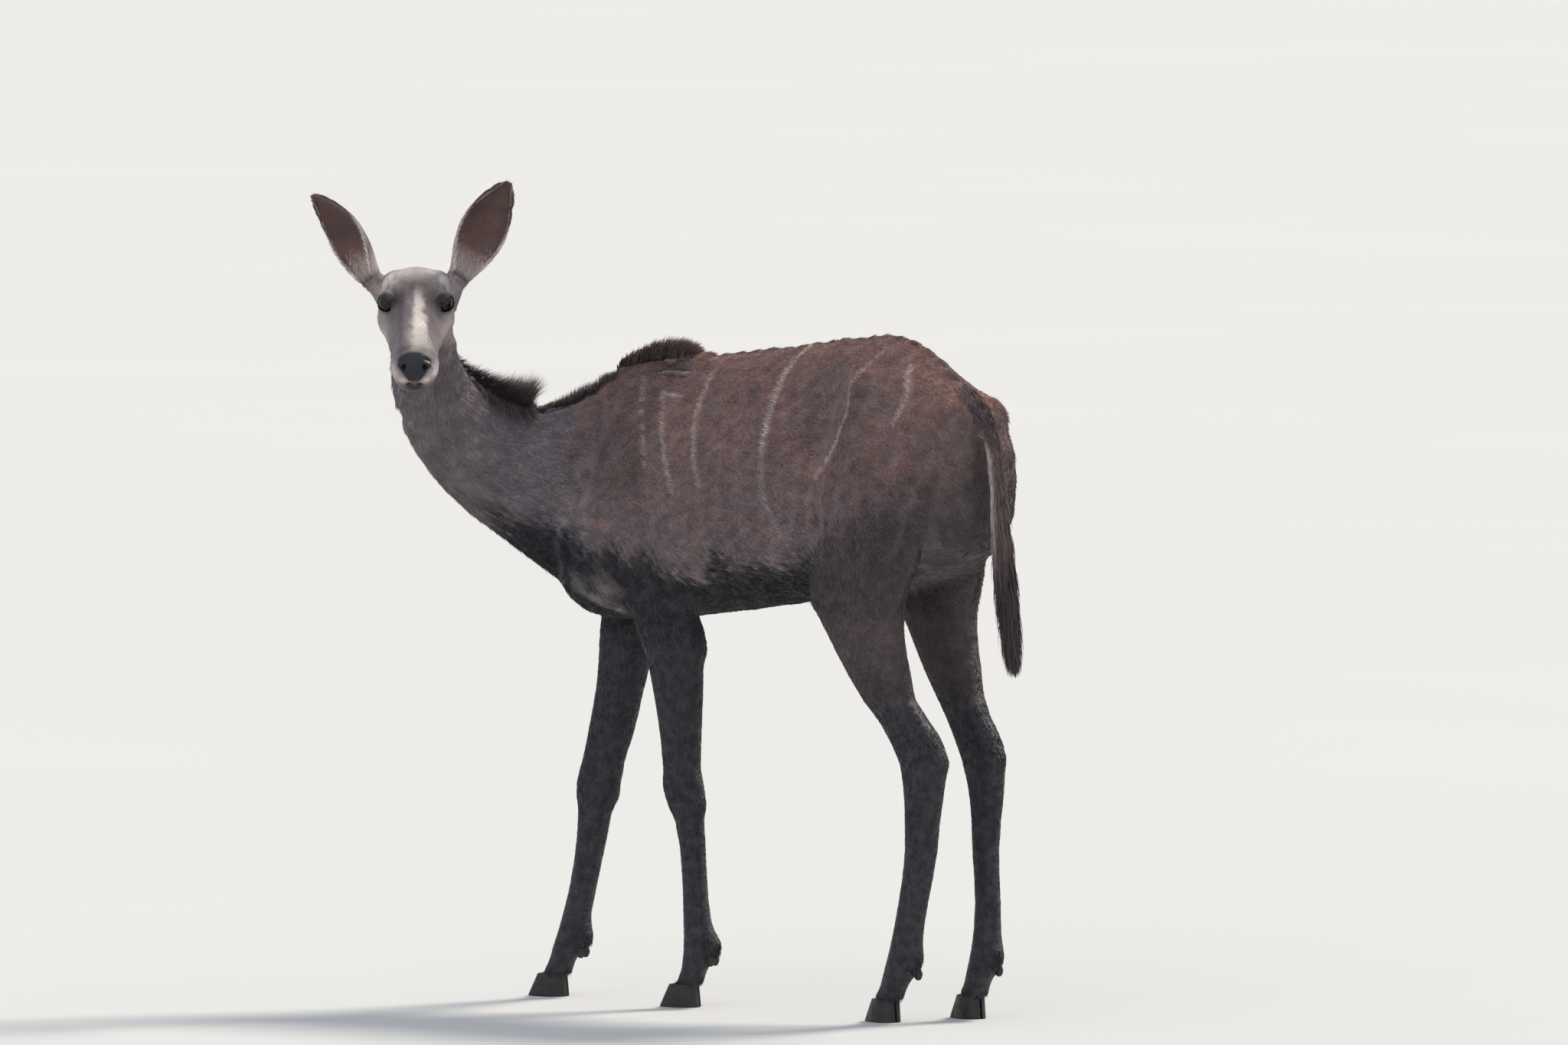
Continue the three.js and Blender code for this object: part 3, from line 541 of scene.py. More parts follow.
def zoomed(points, inverse=False):
    """Swells the space round the head, so that even voxels come out finer there."""
    v = points - HEAD_MIDDLE
    d = np.maximum(np.linalg.norm(v, axis=1), 1e-9)
    edge = HEAD_REACH * (HEAD_ZOOM if inverse else 1)
    swell = HEAD_REACH * (HEAD_ZOOM - 1)
    if inverse:
        new = np.where(d < edge, d / HEAD_ZOOM, d - swell)
    else:
        new = np.where(d < edge, d * HEAD_ZOOM, d + swell)
    return HEAD_MIDDLE + v * (new / d)[:, None]


def flesh_arrays(name):
    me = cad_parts[name].data
    points = points_of(me)
    faces = corners_of(me, 3)
    _, first, back = np.unique(np.round(points * 1e6).astype(np.int64), axis=0,
                               return_index=True, return_inverse=True)
    return points[first], back.reshape(-1)[faces]


def all_flesh(grown=False):
    """Points in metres and triangles of all the solids under the skin."""
    points, faces, count = [], [], 0
    for name in FLESH:
        p, f = flesh_arrays(name)
        if grown:
            p = p + normals_of(p, f) * (EAR_GROWTH if "ear" in name else GROWTH)
        points.append(p)
        faces.append(f + count)
        count += len(p)
    return np.concatenate(points), np.concatenate(faces)


def remeshed():
    """One closed mesh round all the flesh, in metres in the animal's own frame."""
    points, faces = all_flesh(grown=True)
    ob = link(mesh_of("flesh", zoomed(points - SHIFT), faces), "flesh")
    remesh = ob.modifiers.new("remesh", "REMESH")
    remesh.mode, remesh.voxel_size, remesh.adaptivity = "VOXEL", VOXEL, 0.0
    done = bpy.data.meshes.new_from_object(
        ob.evaluated_get(bpy.context.evaluated_depsgraph_get()))
    bpy.data.objects.remove(ob)
    return done


def largest_part(me):
    """Points, quads and edges of the mesh's biggest connected surface."""
    points, faces = points_of(me), corners_of(me, 4)
    edges = read(me.edges, "vertices", 2, 2, np.int32)
    label = np.arange(len(points))
    while True:
        low = np.minimum(label[edges[:, 0]], label[edges[:, 1]])
        new = label.copy()
        np.minimum.at(new, edges[:, 0], low)
        np.minimum.at(new, edges[:, 1], low)
        new = new[new][new[new]]
        if (new == label).all():
            break
        label = new
    ids, counts = np.unique(label, return_counts=True)
    keep = label == ids[counts.argmax()]
    number = np.cumsum(keep) - 1
    return points[keep], number[faces[keep[faces[:, 0]]]], number[edges[keep[edges[:, 0]]]]


# How far the skin lies under the solids, which include the coat, in millimetres
UNDER_SOLIDS = dict(trunk=2.6, neck=2.6, head=1.0, ear=1.0, leg=1.6, tail=2.0)
# Forms of the trunk on each side: (x, height) lines, reach and rise in millimetres
TRUNK_FORMS = [
    ([(-285, 1212), (-330, 1080), (-395, 950)], 20, 6),  # ridge of the shoulder blade
    ([(-222, 1190), (-238, 1060), (-232, 940)], 34, -7),  # hollow behind the shoulder
    ([(-262, 1010), (-300, 900)], 46, 7),  # muscle above the elbow
    ([(-205, 930), (-212, 800)], 20, -7),  # fold behind the elbow
    ([(-350, 1150), (-372, 1010)], 26, -5),  # hollow before the blade's ridge
    ([(262, 1200), (285, 1222)], 22, 7),  # point of the hip
    ([(262, 1180), (236, 1010), (262, 850)], 22, 6),  # front edge of the thigh
    ([(196, 1150), (188, 1060)], 48, -9),  # hollow of the flank
    ([(212, 905), (262, 830)], 17, 7),  # skin fold from flank to knee
    ([(498, 1150), (442, 980), (415, 850)], 17, -6),  # groove down the back of the thigh
    ([(300, 1172), (390, 1065)], 26, -6),  # groove below the hip
    ([(505, 1166), (518, 1146)], 18, 7),  # pin bone
    ([(345, 1262), (430, 1226)], 17, -5),  # dip beside the rump's ridge
    ([(330, 1060), (372, 940)], 52, 6),  # muscle of the thigh
    ([(120, 815), (-60, 792)], 30, 3),  # edge of the belly
]
RIBS = 10
LEG_JOINT = 5                      # the row of a leg that is its knee or hock

MOUTH = [(340, 8, -55), (320, 31, -54), (285, 41, -54), (238, 44, -55)]
# Forms of the head on each side: (along, aside, up) lines, reach and rise
HEAD_FORMS = [
    ([(137, 53, -20), (156, 50, -30), (178, 46, -38)], 5.5, -3.0),  # tear groove
    ([(128, 64, -52), (168, 55, -50), (216, 49, -44)], 9, 3.4),  # ridge of the cheek
    ([(90, 66, -84), (150, 54, -80), (226, 44, -66)], 16, -4.0),  # hollow of the cheek
    ([(58, 58, -108), (130, 52, -98), (226, 40, -82)], 10, 2.8),  # edge of the jaw
    ([(140, 26, 11), (222, 23, 4), (292, 22, 0)], 8, 3.0),  # edge of the nose bridge
    ([(150, 48, -8), (200, 44, -16), (262, 38, -22)], 15, -4.0),  # side of the nose
    ([(80, 52, 12), (106, 58, 8), (130, 54, -2)], 8, 3.4),  # brow
    ([(6, 46, -22), (44, 56, -6)], 17, 9.0),  # seat of the ear
    ([(104, 14, 18), (136, 8, 16)], 15, -3.2),  # dip of the forehead
    ([(331, 28, -14), (324, 33, -28)], 5, 2.6),  # wing of the nostril
    ([(322, 24, -8), (314, 36, -24)], 5, -1.8),  # crease above it
    ([(334, 14, -43), (314, 34, -48), (280, 41, -50)], 6, 2.6),  # upper lip
    ([(330, 12, -66), (302, 29, -66), (268, 36, -66)], 7, 2.0),  # lower lip
    (MOUTH, 3.6, -6.0),
    ([(338, 0, -24), (340, 0, -46)], 2.6, -1.6),  # groove below the nose
    ([(296, 41, -18), (318, 38, -36)], 6, -2.0),  # crease behind the nostril
]


def carve(points, faces, where):
    """Raises and sinks the skin along the lines above, in millimetres."""
    normals = normals_of(points, faces)
    rise = np.zeros(len(points))
    x, flat = points[:, 0], points[:, [0, 2]]
    lateral = points[:, 1] - midline(x)
    trunk, neck, head, leg = (where[k] for k in ("trunk", "neck", "head", "leg"))
    side_on = np.abs(normals[:, 1])
    for side in (1, -1):
        mine = ramp(-side * lateral, 4, 30) * trunk
        for line, reach, height in TRUNK_FORMS:
            away, _ = to_line(flat, line)
            rise += height * hill(away, reach) * mine * (0.3 + 0.7 * side_on)
        for i in range(RIBS):
            rib = -172 + 36 * i
            line = [(rib, 1196), (rib + 34, 1080), (rib + 48, 960),
                    (rib + 38 - 2 * i, 850 + 5 * i)]
            away, at = to_line(flat, line)
            fade = np.sin(math.pi * np.clip(at, 0, 1)) ** 0.5 * (0.5 if i < 3 else 1)
            rise += 1.1 * hill(away, 12) * mine * fade
    spine = hill(lateral, 11) * trunk * ramp(normals[:, 2], 0.3, 0.8)
    rise += spine * ramp(x, -200, -120) * (3.0 + 1.0 * np.cos(x * 2 * math.pi / 37))
    rise += 1.1 * ripple(points, 90, 1) * trunk + 0.5 * ripple(points, 34, 2) * trunk
    own = on_face(points)
    for line, reach, height in HEAD_FORMS:
        rise += height * hill(to_line(own, line)[0], reach) * head
    middle, _, across, up, half, above, below = neck_frames(np.linspace(0.12, 0.92, 9))
    for side in (1, -1):
        groove = middle + across * (side * half * 0.86)[:, None] - up * (below * 0.42)[:, None]
        ridge = middle + across * (side * half * 0.95)[:, None] + up * (above * 0.05)[:, None]
        rise -= 5.5 * hill(to_line(points, groove)[0], 15) * neck
        rise += 4.0 * hill(to_line(points, ridge)[0], 24) * neck
    middle, _, _, up, _, _, below = neck_frames(np.linspace(0.1, 0.95, 9))
    windpipe = middle - up * (below * 0.97)[:, None]
    rise += 5.0 * hill(to_line(points, windpipe)[0], 16) * neck
    for name in LEG_ROWS:
        for across in (-0.95, 0.95):
            away, at = to_line(points, leg_line(name, -0.25, across)[4:])
            fade = np.sin(math.pi * np.clip(at * 1.1, 0, 1)) ** 0.6
            rise -= 2.2 * hill(away, 5.5) * fade * leg
        joint = leg_line(name)[LEG_JOINT] + [0, 0, 12]
        away = np.linalg.norm(points - joint, axis=1)
        rise += 1.2 * hill(away - 26, 10) * leg * ripple(points, 26, 5)
    return points + normals * rise[:, None]


def without_locks(points, where):
    """Draws the skin in under the manes and the tail tuft, down to the flesh that carries them."""
    x, lateral = points[:, 0], points[:, 1] - midline(points[:, 0])
    t = np.clip((-178 - x) / 190, 0, 1)
    top = 1245 - 18 * t - 18 * np.maximum(t - 0.6, 0) - 0.025 * lateral ** 2
    near = (x < -150) & (x > -400) & (np.abs(lateral) < 40) & (where["trunk"] > 0.5)
    points[near, 2] = np.minimum(points[near, 2], top[near])
    _, at = to_line(points, np.array(NECK)[:, :3])
    middle, _, across, up, half, above, _ = neck_frames(at)
    v = points - middle
    high, wide = (v * up).sum(1), (v * across).sum(1)
    limit = above * np.sqrt(np.clip(1 - (wide / half) ** 2, 0, 1)) + 2
    near = (where["neck"] > 0.5) & (high > limit) & (at > 0.15) & (at < 0.9)
    points[near] -= up[near] * (high - limit)[near, None]
    _, at = to_line(points, np.array(TAIL)[:, :3])
    rows = along_rows(TAIL, at)
    v = points - rows[:, :3]
    size = np.linalg.norm(v, axis=1)
    limit = rows[:, 3] * 0.9
    near = (where["tail"] > 0.5) & (size > limit) & (at > 0.4)
    points[near] = rows[near, :3] + v[near] * (limit / np.maximum(size, 1e-6))[near, None]
    return points


def clear_of_eyes(points):
    """Keeps the lids just outside the eyeballs."""
    for side in (1, -1):
        v = points - eye_centre(side)
        d = np.linalg.norm(v, axis=1)
        near = d < EYE_RADIUS + LID_GAP
        points[near] += v[near] / d[near, None] * (EYE_RADIUS + LID_GAP - d[near])[:, None]
    return points


def near_parts(points):
    """How much each point belongs to each part of the animal."""
    spots, owner = [], []
    for name, part in FLESH.items():
        p, f = flesh_arrays(name)
        spots.append((np.concatenate([p, p[f].mean(1)]) - SHIFT) * 1000)
        owner += [part] * len(spots[-1])
    spots = np.concatenate(spots)
    tree = KDTree(len(spots))
    for i, p in enumerate(spots):
        tree.insert(p, i)
    tree.balance()
    own = np.array([owner[tree.find(p)[1]] for p in points])
    return {part: (own == part) * 1.0 for part in PARTS}


def over_parts(where, values):
    """A value for each point, blended from values for the parts."""
    return sum(where[part] * value for part, value in values.items())


def caked(points, where):
    """Thickness of the mud and matted hair down the legs, in millimetres."""
    z = points[:, 2]
    thick = (5.0 * ramp(z, 48, 96) + 1.2 * ramp(z, 84, 240)) * ramp(790 - z, 0, 190)
    heel = np.zeros(len(points))
    for name, top, more in (("hindleg_left", 640, 9.0), ("hindleg_right", 640, 4.0),
                            ("foreleg_right", 600, 3.5)):
        away, _ = to_line(points, leg_line(name, ahead=-0.9))
        heel += more * hill(away, 34) * ramp(z, 180, 420) * ramp(top - z, 0, 90)
    for name in LEG_ROWS:
        fetlock = leg_line(name, ahead=-1.1)[-2] + [0, 0, 6]
        heel += 7.0 * hill(np.linalg.norm(points - fetlock, axis=1), 20)
    return (thick + heel) * where["leg"]


def make_skin():
    points, faces, edges = largest_part(remeshed())
    points = zoomed(points, inverse=True) * 1000
    where = near_parts(points)
    points = without_locks(points, where)
    for _ in range(8):
        where = {part: averaged(share, edges)[:, 0] for part, share in where.items()}
    fine = where["head"] + where["ear"]
    points = smoothed(points, edges, 2, np.ones(len(points)))
    points = smoothed(points, edges, 22, np.clip(1 - 1.2 * fine, 0, 1))
    along = (points - POLL) @ FACE
    soft = where["head"] * ramp(eye_gap(points), 25, 33) * (1 - ramp(along, 292, 306))
    points = smoothed(points, edges, 24, soft)
    for side in (1, -1):
        root, out, _, _, _ = ear_frame(side)
        away = np.linalg.norm(points - root - out * 30, axis=1)
        points = smoothed(points, edges, 40, ramp(34 - away, 0, 12))
    points = carve(points, faces, where)
    depth = over_parts(where, UNDER_SOLIDS) - caked(points, where)
    points = points - normals_of(points, faces) * depth[:, None]
    points = smoothed(points, edges, 2, 0.6 * np.ones(len(points)))
    return clear_of_eyes(points), faces, where


# Markings

# White stripes of the flanks: (x, height) lines, half width and strength
STRIPES = [
    ([(-291, 1196), (-265, 1112), (-234, 1028)], 3.6, 0.30),
    ([(-242, 1168), (-207, 1081), (-152, 984)], 3.8, 0.46),
    ([(-236, 1166), (-196, 1162)], 3.2, 0.4),
    ([(-138, 1226), (-144, 1131), (-112, 1051), (-84, 1004)], 4.4, 0.50),
    ([(67, 1262), (47, 1203), (51, 1129), (55, 1070)], 5.0, 0.72),
    ([(55, 1072), (74, 1000), (112, 910)], 3.6, 0.26),
    ([(282, 1268), (261, 1218), (229, 1127), (190, 1024)], 4.2, 0.50),
    ([(357, 1236), (382, 1189), (370, 1130)], 4.4, 0.55),
]
FAR_SHIFT = np.array([16, 6])      # how far the right side's stripes lie off the left side's
# Height that the wet mud reaches, along the body
MUD_LINE = [(-560, 925), (-492, 942), (-435, 940), (-361, 894), (-276, 876), (-138, 850),
            (-42, 876), (96, 864), (141, 886), (354, 986), (451, 1021), (560, 1030)]
# Painted highlight where light falls on the brisket's bulge: no mud and paler hair there
LIT_BRISKET = [(-480, 872), (-400, 808), (-330, 790)]
# Soft spots of the face: strength, middle and reach, each along, to the side and up
DARK_SPOTS = [
    (0.80, (138, 27, 12), (26, 13, 24)), (0.60, (122, 50, 6), (13, 18, 20)),
    (0.70, (98, 0, 18), (20, 24, 28)), (0.35, (200, 32, 0), (50, 12, 20)),
    (0.60, (152, 54, -24), (20, 12, 14)), (0.55, (298, 12, 2), (16, 22, 14)),
    # Painted shade under the mouth, on the chin and lower lip
    (1.00, (338, 0, -64), (22, 22, 14)),
]
PALE_SPOTS = [
    (1.00, (58, 54, -2), (30, 22, 30)), (0.72, (34, 26, 8), (34, 40, 20)),
    (0.50, (140, 64, -60), (62, 22, 30)), (1.00, (318, 38, -40), (30, 16, 14)),
    (1.00, (338, 25, -46), (14, 13, 8)), (0.55, (290, 16, -86), (34, 26, 12)),
    (0.75, (30, 64, -34), (24, 18, 26)), (0.45, (124, 64, -24), (26, 12, 16)),
]


def striped(p, side):
    """Strength of the white stripes; side is 1 on the animal's left and -1 on its right."""
    wobble = 2.2 * ripple(p, 46, 13)
    pale = np.zeros(len(p))
    for line, half, strength in STRIPES:
        for s in (1, -1) if len(line) > 2 else (1,):
            away, _ = to_line(p[:, [0, 2]], line if s > 0 else line + FAR_SHIFT)
            mark = 0.9 * ramp(half + 0.5 * wobble + 4.0 - np.abs(away + wobble * 0.5), 0, 8.0)
            broken = np.clip(0.86 + 0.3 * ripple(p, 30, 14 + s), 0, 1)
            pale = np.maximum(pale, mark * strength * broken * (side == s))
    return pale


def muddy(p, trunk, neck, leg):
    x, z = p[:, 0], p[:, 2]
    line = np.interp(x, *np.array(MUD_LINE).T) + 14 * ripple(p, 130, 15) + 7 * ripple(p, 40, 16)
    edge = 40 + 50 * ramp(x, 60, 260)
    mud = ramp(line - z + 14 * ripple(p, 16, 19) + 0.5 * edge, 0, 1.5 * edge)
    mud *= np.clip(trunk + neck + leg, 0, 1)
    blots = ramp(ripple(p, 44, 17) - (z - line) / 110, 0.35, 1.25) * ramp(x, 100, 260)
    mud = np.maximum(mud, 0.75 * blots * trunk * ramp(line + 95 - z, 0, 40))
    mud = np.maximum(mud, ramp(740 - z, 0, 60) * leg)
    return mud * (1 - 0.30 * ramp(x, 120, 230) * ramp(z, 540, 720))


def nose_pad(own):
    """Share of bare nose at folded face points: broad above, narrow between the lips."""
    along, aside, up = own.T
    wide = 33 - 0.85 * np.maximum(-20 - up, 0)
    top = 303 + 4 * (aside / 20) ** 2
    return ramp(along, top, top + 6) * ramp(wide - aside, -2, 3) * ramp(up + 50, 0, 5)


def mark_face(p, own, head, dark, pale):
    """Lays spots, a painted highlight down the nose bridge, painted shade along the mouth and under
    the chin, and the surrounds of the eyes over the dark and pale so far.
    """
    along, _, up = own.T
    for strength, middle, reach in DARK_SPOTS:
        dark = dark + strength * head * np.exp(-(((own - middle) / reach) ** 2).sum(1))
    for strength, middle, reach in PALE_SPOTS:
        spot = np.exp(-(((own - middle) / reach) ** 2).sum(1))
        pale = np.maximum(pale, strength * head * spot)
    # Painted highlight: a pale strip down the nose bridge, a little to the left, where sunlight
    # falls on its ridge
    half = 9.5 + 9.5 * ramp(along, 150, 285) + 2.5 * ripple(p, 22, 24)
    off = ((p - POLL) @ FACE_LEFT - 5 - 4 * ramp(along, 150, 285)) / half
    sunlit_bridge = np.exp(-((along - 210) / 88) ** 4 - off ** 4 - ((up - 4) / 26) ** 2)
    mouth, _ = to_line(own, MOUTH)
    # Painted shade along the mouth's groove, where the lips part
    dark += 0.9 * ramp(5.5 - mouth, 0, 3.5) * head
    pale = np.maximum(pale, sunlit_bridge * head) * (1 - ramp(5.0 - mouth, 0, 3.0) * head)
    bare = nose_pad(own) * head
    for side in (1, -1):
        v = p - eye_centre(side)
        look, level, upright = eye_axes(side)
        gap = np.hypot(v @ level / EYE_OPENING[0], v @ upright / EYE_OPENING[1])
        lid = head * ramp(v @ look, 0, 6) * (np.linalg.norm(v, axis=1) < 36)
        bare = np.maximum(bare, ramp(1.26 - gap, 0, 0.16) * lid)
        dark += 0.45 * ramp(1.9 - gap, 0, 0.5) * lid
        pale *= 1 - 0.6 * ramp(1.9 - gap, 0, 0.4) * lid
    return dark, pale, bare


def paint(p, n, where):
    """Markings and painted light at points p with normals n: tone is grey, dark, pale; mark is mud,
    rust with painted sunlight, bare.
    """
    x, z = p[:, 0], p[:, 2]
    lateral = p[:, 1] - midline(x)
    trunk, neck, head, tail, ear, leg = (where[part] for part in PARTS)
    body = np.clip(trunk + neck + leg, 0, 1)
    soft = ripple(p, 140, 11)
    grey = 0.25 * trunk + 0.85 * neck + 0.62 * head + 0.3 * ear + 0.1 * tail
    grey += trunk * (0.45 * ramp(-x, 300, 440) + 0.25 * ramp(1010 - z, 0, 160)) + 0.08 * soft
    # Lighter, warmer hair on upward faces is painted sunlight on the back; the rump's touch and the
    # random part are the coat's own rusty tone
    rust_and_sunlit = body * (0.55 * ramp(n[:, 2], 0.1, 0.9) + 0.05 * ramp(x, 250, 420)) * (1 - neck)
    rust_and_sunlit += 0.1 * ripple(p, 38, 12)
    dark = trunk * 0.45 * hill(lateral, 12) * ramp(n[:, 2], 0.4, 0.8)
    dark += trunk * 0.28 * ramp(-x, 190, 260) * ramp(z, 940, 1010) * ramp(x, -430, -350)
    dark += 0.10 * body * np.clip(soft, 0, 1)
    dark += 0.16 * trunk * ramp(x, 180, 270) * ramp(1150 - z, 0, 120)
    # Painted highlight on the brisket's lit bulge: mud taken off and the hair paled a little
    away, _ = to_line(p[:, [0, 2]], LIT_BRISKET)
    lit_brisket = ramp(46 + 16 * ripple(p, 50, 18) - away, 0, 60) * (trunk + leg)
    belly = trunk * ramp(-n[:, 2], 0.2, 0.8) * 0.35
    pale = striped(p, np.where(lateral < 0, 1, -1)) * trunk
    pale = np.maximum(pale, np.maximum(0.10 * lit_brisket, belly))
    mud = muddy(p, trunk, neck, leg) * (1 - 0.85 * lit_brisket)
    dark, pale, bare = mark_face(p, on_face(p), head, dark, pale)
    for side in (1, -1):
        root, along, length, face, across = ear_frame(side)
        mine = ear * (np.sign((p - POLL) @ FACE_LEFT) == side)
        out = ((p - root) @ along) / length
        inside = ramp(n @ face, 0.0, 0.5) * mine
        rim = np.abs((p - root) @ across) / 46
        # Ears darker towards the tip: partly their own brown, partly painted shade; inside the cup,
        # painted shade over dark skin and a reddish painted glow of sunlight shining through
        dark += mine * (1 - inside) * (0.34 + 0.40 * ramp(out, 0.3, 0.75))
        dark += inside * (0.30 + 0.36 * ramp(out, 0.25, 0.6))
        rust_and_sunlit += inside * 0.5
        pale = np.maximum(pale, mine * 0.60 * ramp(0.40 - out, 0, 0.24))
        pale = np.maximum(pale, mine * 0.35 * ramp(rim, 0.84, 1.0) * (1 - ramp(out, 0.7, 0.9)))
    _, down = to_line(p, np.array(TAIL)[:, :3])
    dark += tail * (0.75 * ramp(down, 0.62, 0.78) + 0.15)
    # Painted shade in the cleft below the tail's root, near the midline at the rear
    dark += trunk * 0.5 * ramp(x, 480, 540) * ramp(30 - np.abs(lateral + 5), 0, 20)
    under = tail * ramp(-(n @ np.array([0.97, 0.1, 0.2])), 0.3, 0.8)
    pale = np.maximum(pale, 0.8 * under * (1 - ramp(down, 0.7, 0.85)))
    dark = np.clip(dark, 0, 1) * (1 - 0.9 * pale)
    return (np.clip(np.stack([grey, dark, pale], 1), 0, 1),
            np.clip(np.stack([mud, rust_and_sunlit, bare], 1), 0, 1))


# The lie of the coat

def flow_lines():
    """Part, line that its hair follows from root to tip, the line's reach, and rise in its way."""
    yield "trunk", np.array([[-400, -66, 1010], [-200, -16, 1010], [0, 0, 1020],
                             [250, -14, 1040], [430, -42, 1050]]), 150, -0.45
    yield "neck", neck_frames(np.linspace(1, 0.1, 8))[0], 75, -0.1
    muzzle_to_poll = ((345, -34), (240, -36), (120, -48), (10, -56))
    yield "head", np.array([face_point(a, 0, u) for a, u in muzzle_to_poll]), 45, 0
    yield "tail", np.array(TAIL)[:, :3], 15, 0
    for side in (1, -1):
        root, along, length, _, _ = ear_frame(side)
        yield "ear", np.array([root, root + along * length]), 20, 0
    for name in LEG_ROWS:
        yield "leg", leg_line(name), 48, 0


def flattened(way, out):
    return unit(way - out * (way * out).sum(-1, keepdims=True))


def lie_of_coat(p, n, where):
    total = np.zeros_like(p)
    for part, line, reach, rise in flow_lines():
        away, at = to_line(p, line)
        count = len(line) - 1
        i = np.minimum((at * count).astype(int), count - 1)
        way = unit(line[i + 1] - line[i]) + [0, 0, rise]
        share = (reach / (away + 0.15 * reach)) ** 4
        if part in ("head", "tail", "ear"):
            share = share * where[part]
        elif part == "leg":
            share = share * (0.05 + ramp(980 - p[:, 2], 0, 260)) * (1 - where["head"])
        total += way * share[:, None]
    swirl = np.stack([ripple(p, 90, key) for key in (21, 22, 23)], 1)
    return flattened(unit(total) + 0.10 * swirl, n)


# Hair

def lots(root):
    """A number from 0 to 1 for each tuft, partly shared with its neighbours."""
    return np.clip(0.5 + 0.2 * ripple(root, 24, 31) + draw.normal(0, 0.2, len(root)), 0, 1)


def uneven(tone, count):
    return (np.array(tone) + draw.normal(0, 0.07, (count, 3)) * [1, 1, 0]).clip(0, 1)


def blades(root, out, lie, length, width, lift, steps, droop, sunk=0.9):
    """Thin tapered tufts: points (tuft, point, 3), the triangles of one, how far out each lies."""
    side = unit(np.cross(out, lie))
    rings = []
    for k in range(steps):
        t = k / steps
        rise = length * np.sin(lift) * (t - droop * t * t)
        middle = (root + lie * (length * t * np.cos(lift))[:, None]
                  + out * (rise - sunk)[:, None])
        half = (width * 0.5 * (1 - t) ** 0.6)[:, None]
        rings += [middle + side * half, middle + out * half * 0.8, middle - side * half]
    rise = length * np.sin(lift) * (1 - droop) - sunk
    rings.append(root + lie * (length * np.cos(lift))[:, None] + out * rise[:, None])
    tris = [(0, 2, 1)]
    for a in range(0, 3 * steps - 3, 3):
        for j in range(3):
            p, q = a + j, a + (j + 1) % 3
            tris += [(p, q, q + 3), (p, q + 3, p + 3)]
    a = 3 * (steps - 1)
    tris += [(a + j, a + (j + 1) % 3, a + 3) for j in range(3)]
    tips = [k / steps for k in range(steps) for _ in range(3)] + [1.0]
    return np.stack(rings, 1), np.array(tris), np.array(tips)


class BakeMap:
    """Where each root lies on an unwrap of the skin's own shape."""

    def __init__(self):
        me = mesh_of("unwrap", *all_flesh())
        ob = link(me, "unwrap")
        me.uv_layers.new(name="OFBake")
        bpy.context.view_layer.objects.active = ob
        ob.select_set(True)
        bpy.ops.object.mode_set(mode="EDIT")
        bpy.ops.mesh.select_all(action="SELECT")
        bpy.ops.uv.smart_project(angle_limit=1.15, island_margin=0.004)
        bpy.ops.object.mode_set(mode="OBJECT")
        self.uv = read(me.uv_layers["OFBake"].data, "uv", 2, 2).reshape(-1, 3, 2)
        self.points, self.faces = points_of(me), corners_of(me, 3)
        self.tree = BVHTree.FromPolygons(self.points.tolist(), self.faces.tolist())
        bpy.data.objects.remove(ob)

    def places(self, roots):
        """Unwrap places of roots given in the animal's millimetres."""
        spots = in_scene(roots)
        ids = np.array([self.tree.find_nearest(p)[2] for p in spots.tolist()])
        a, b, c = (self.points[self.faces[ids, k]] for k in range(3))
        u, v, w = b - a, c - a, spots - a
        uu, uv, vv, wu, wv = ((g * h).sum(1) for g, h in ((u, u), (u, v), (v, v), (w, u), (w, v)))
        low = np.maximum(uu * vv - uv * uv, 1e-18)
        s = np.clip((vv * wu - uv * wv) / low, 0, 1)
        t = np.clip((uu * wv - uv * wu) / low, 0, 1)
        share = np.stack([1 - s - t, s, t], 1).clip(0)
        share /= share.sum(1, keepdims=True)
        return (self.uv[ids] * share[:, :, None]).sum(1)


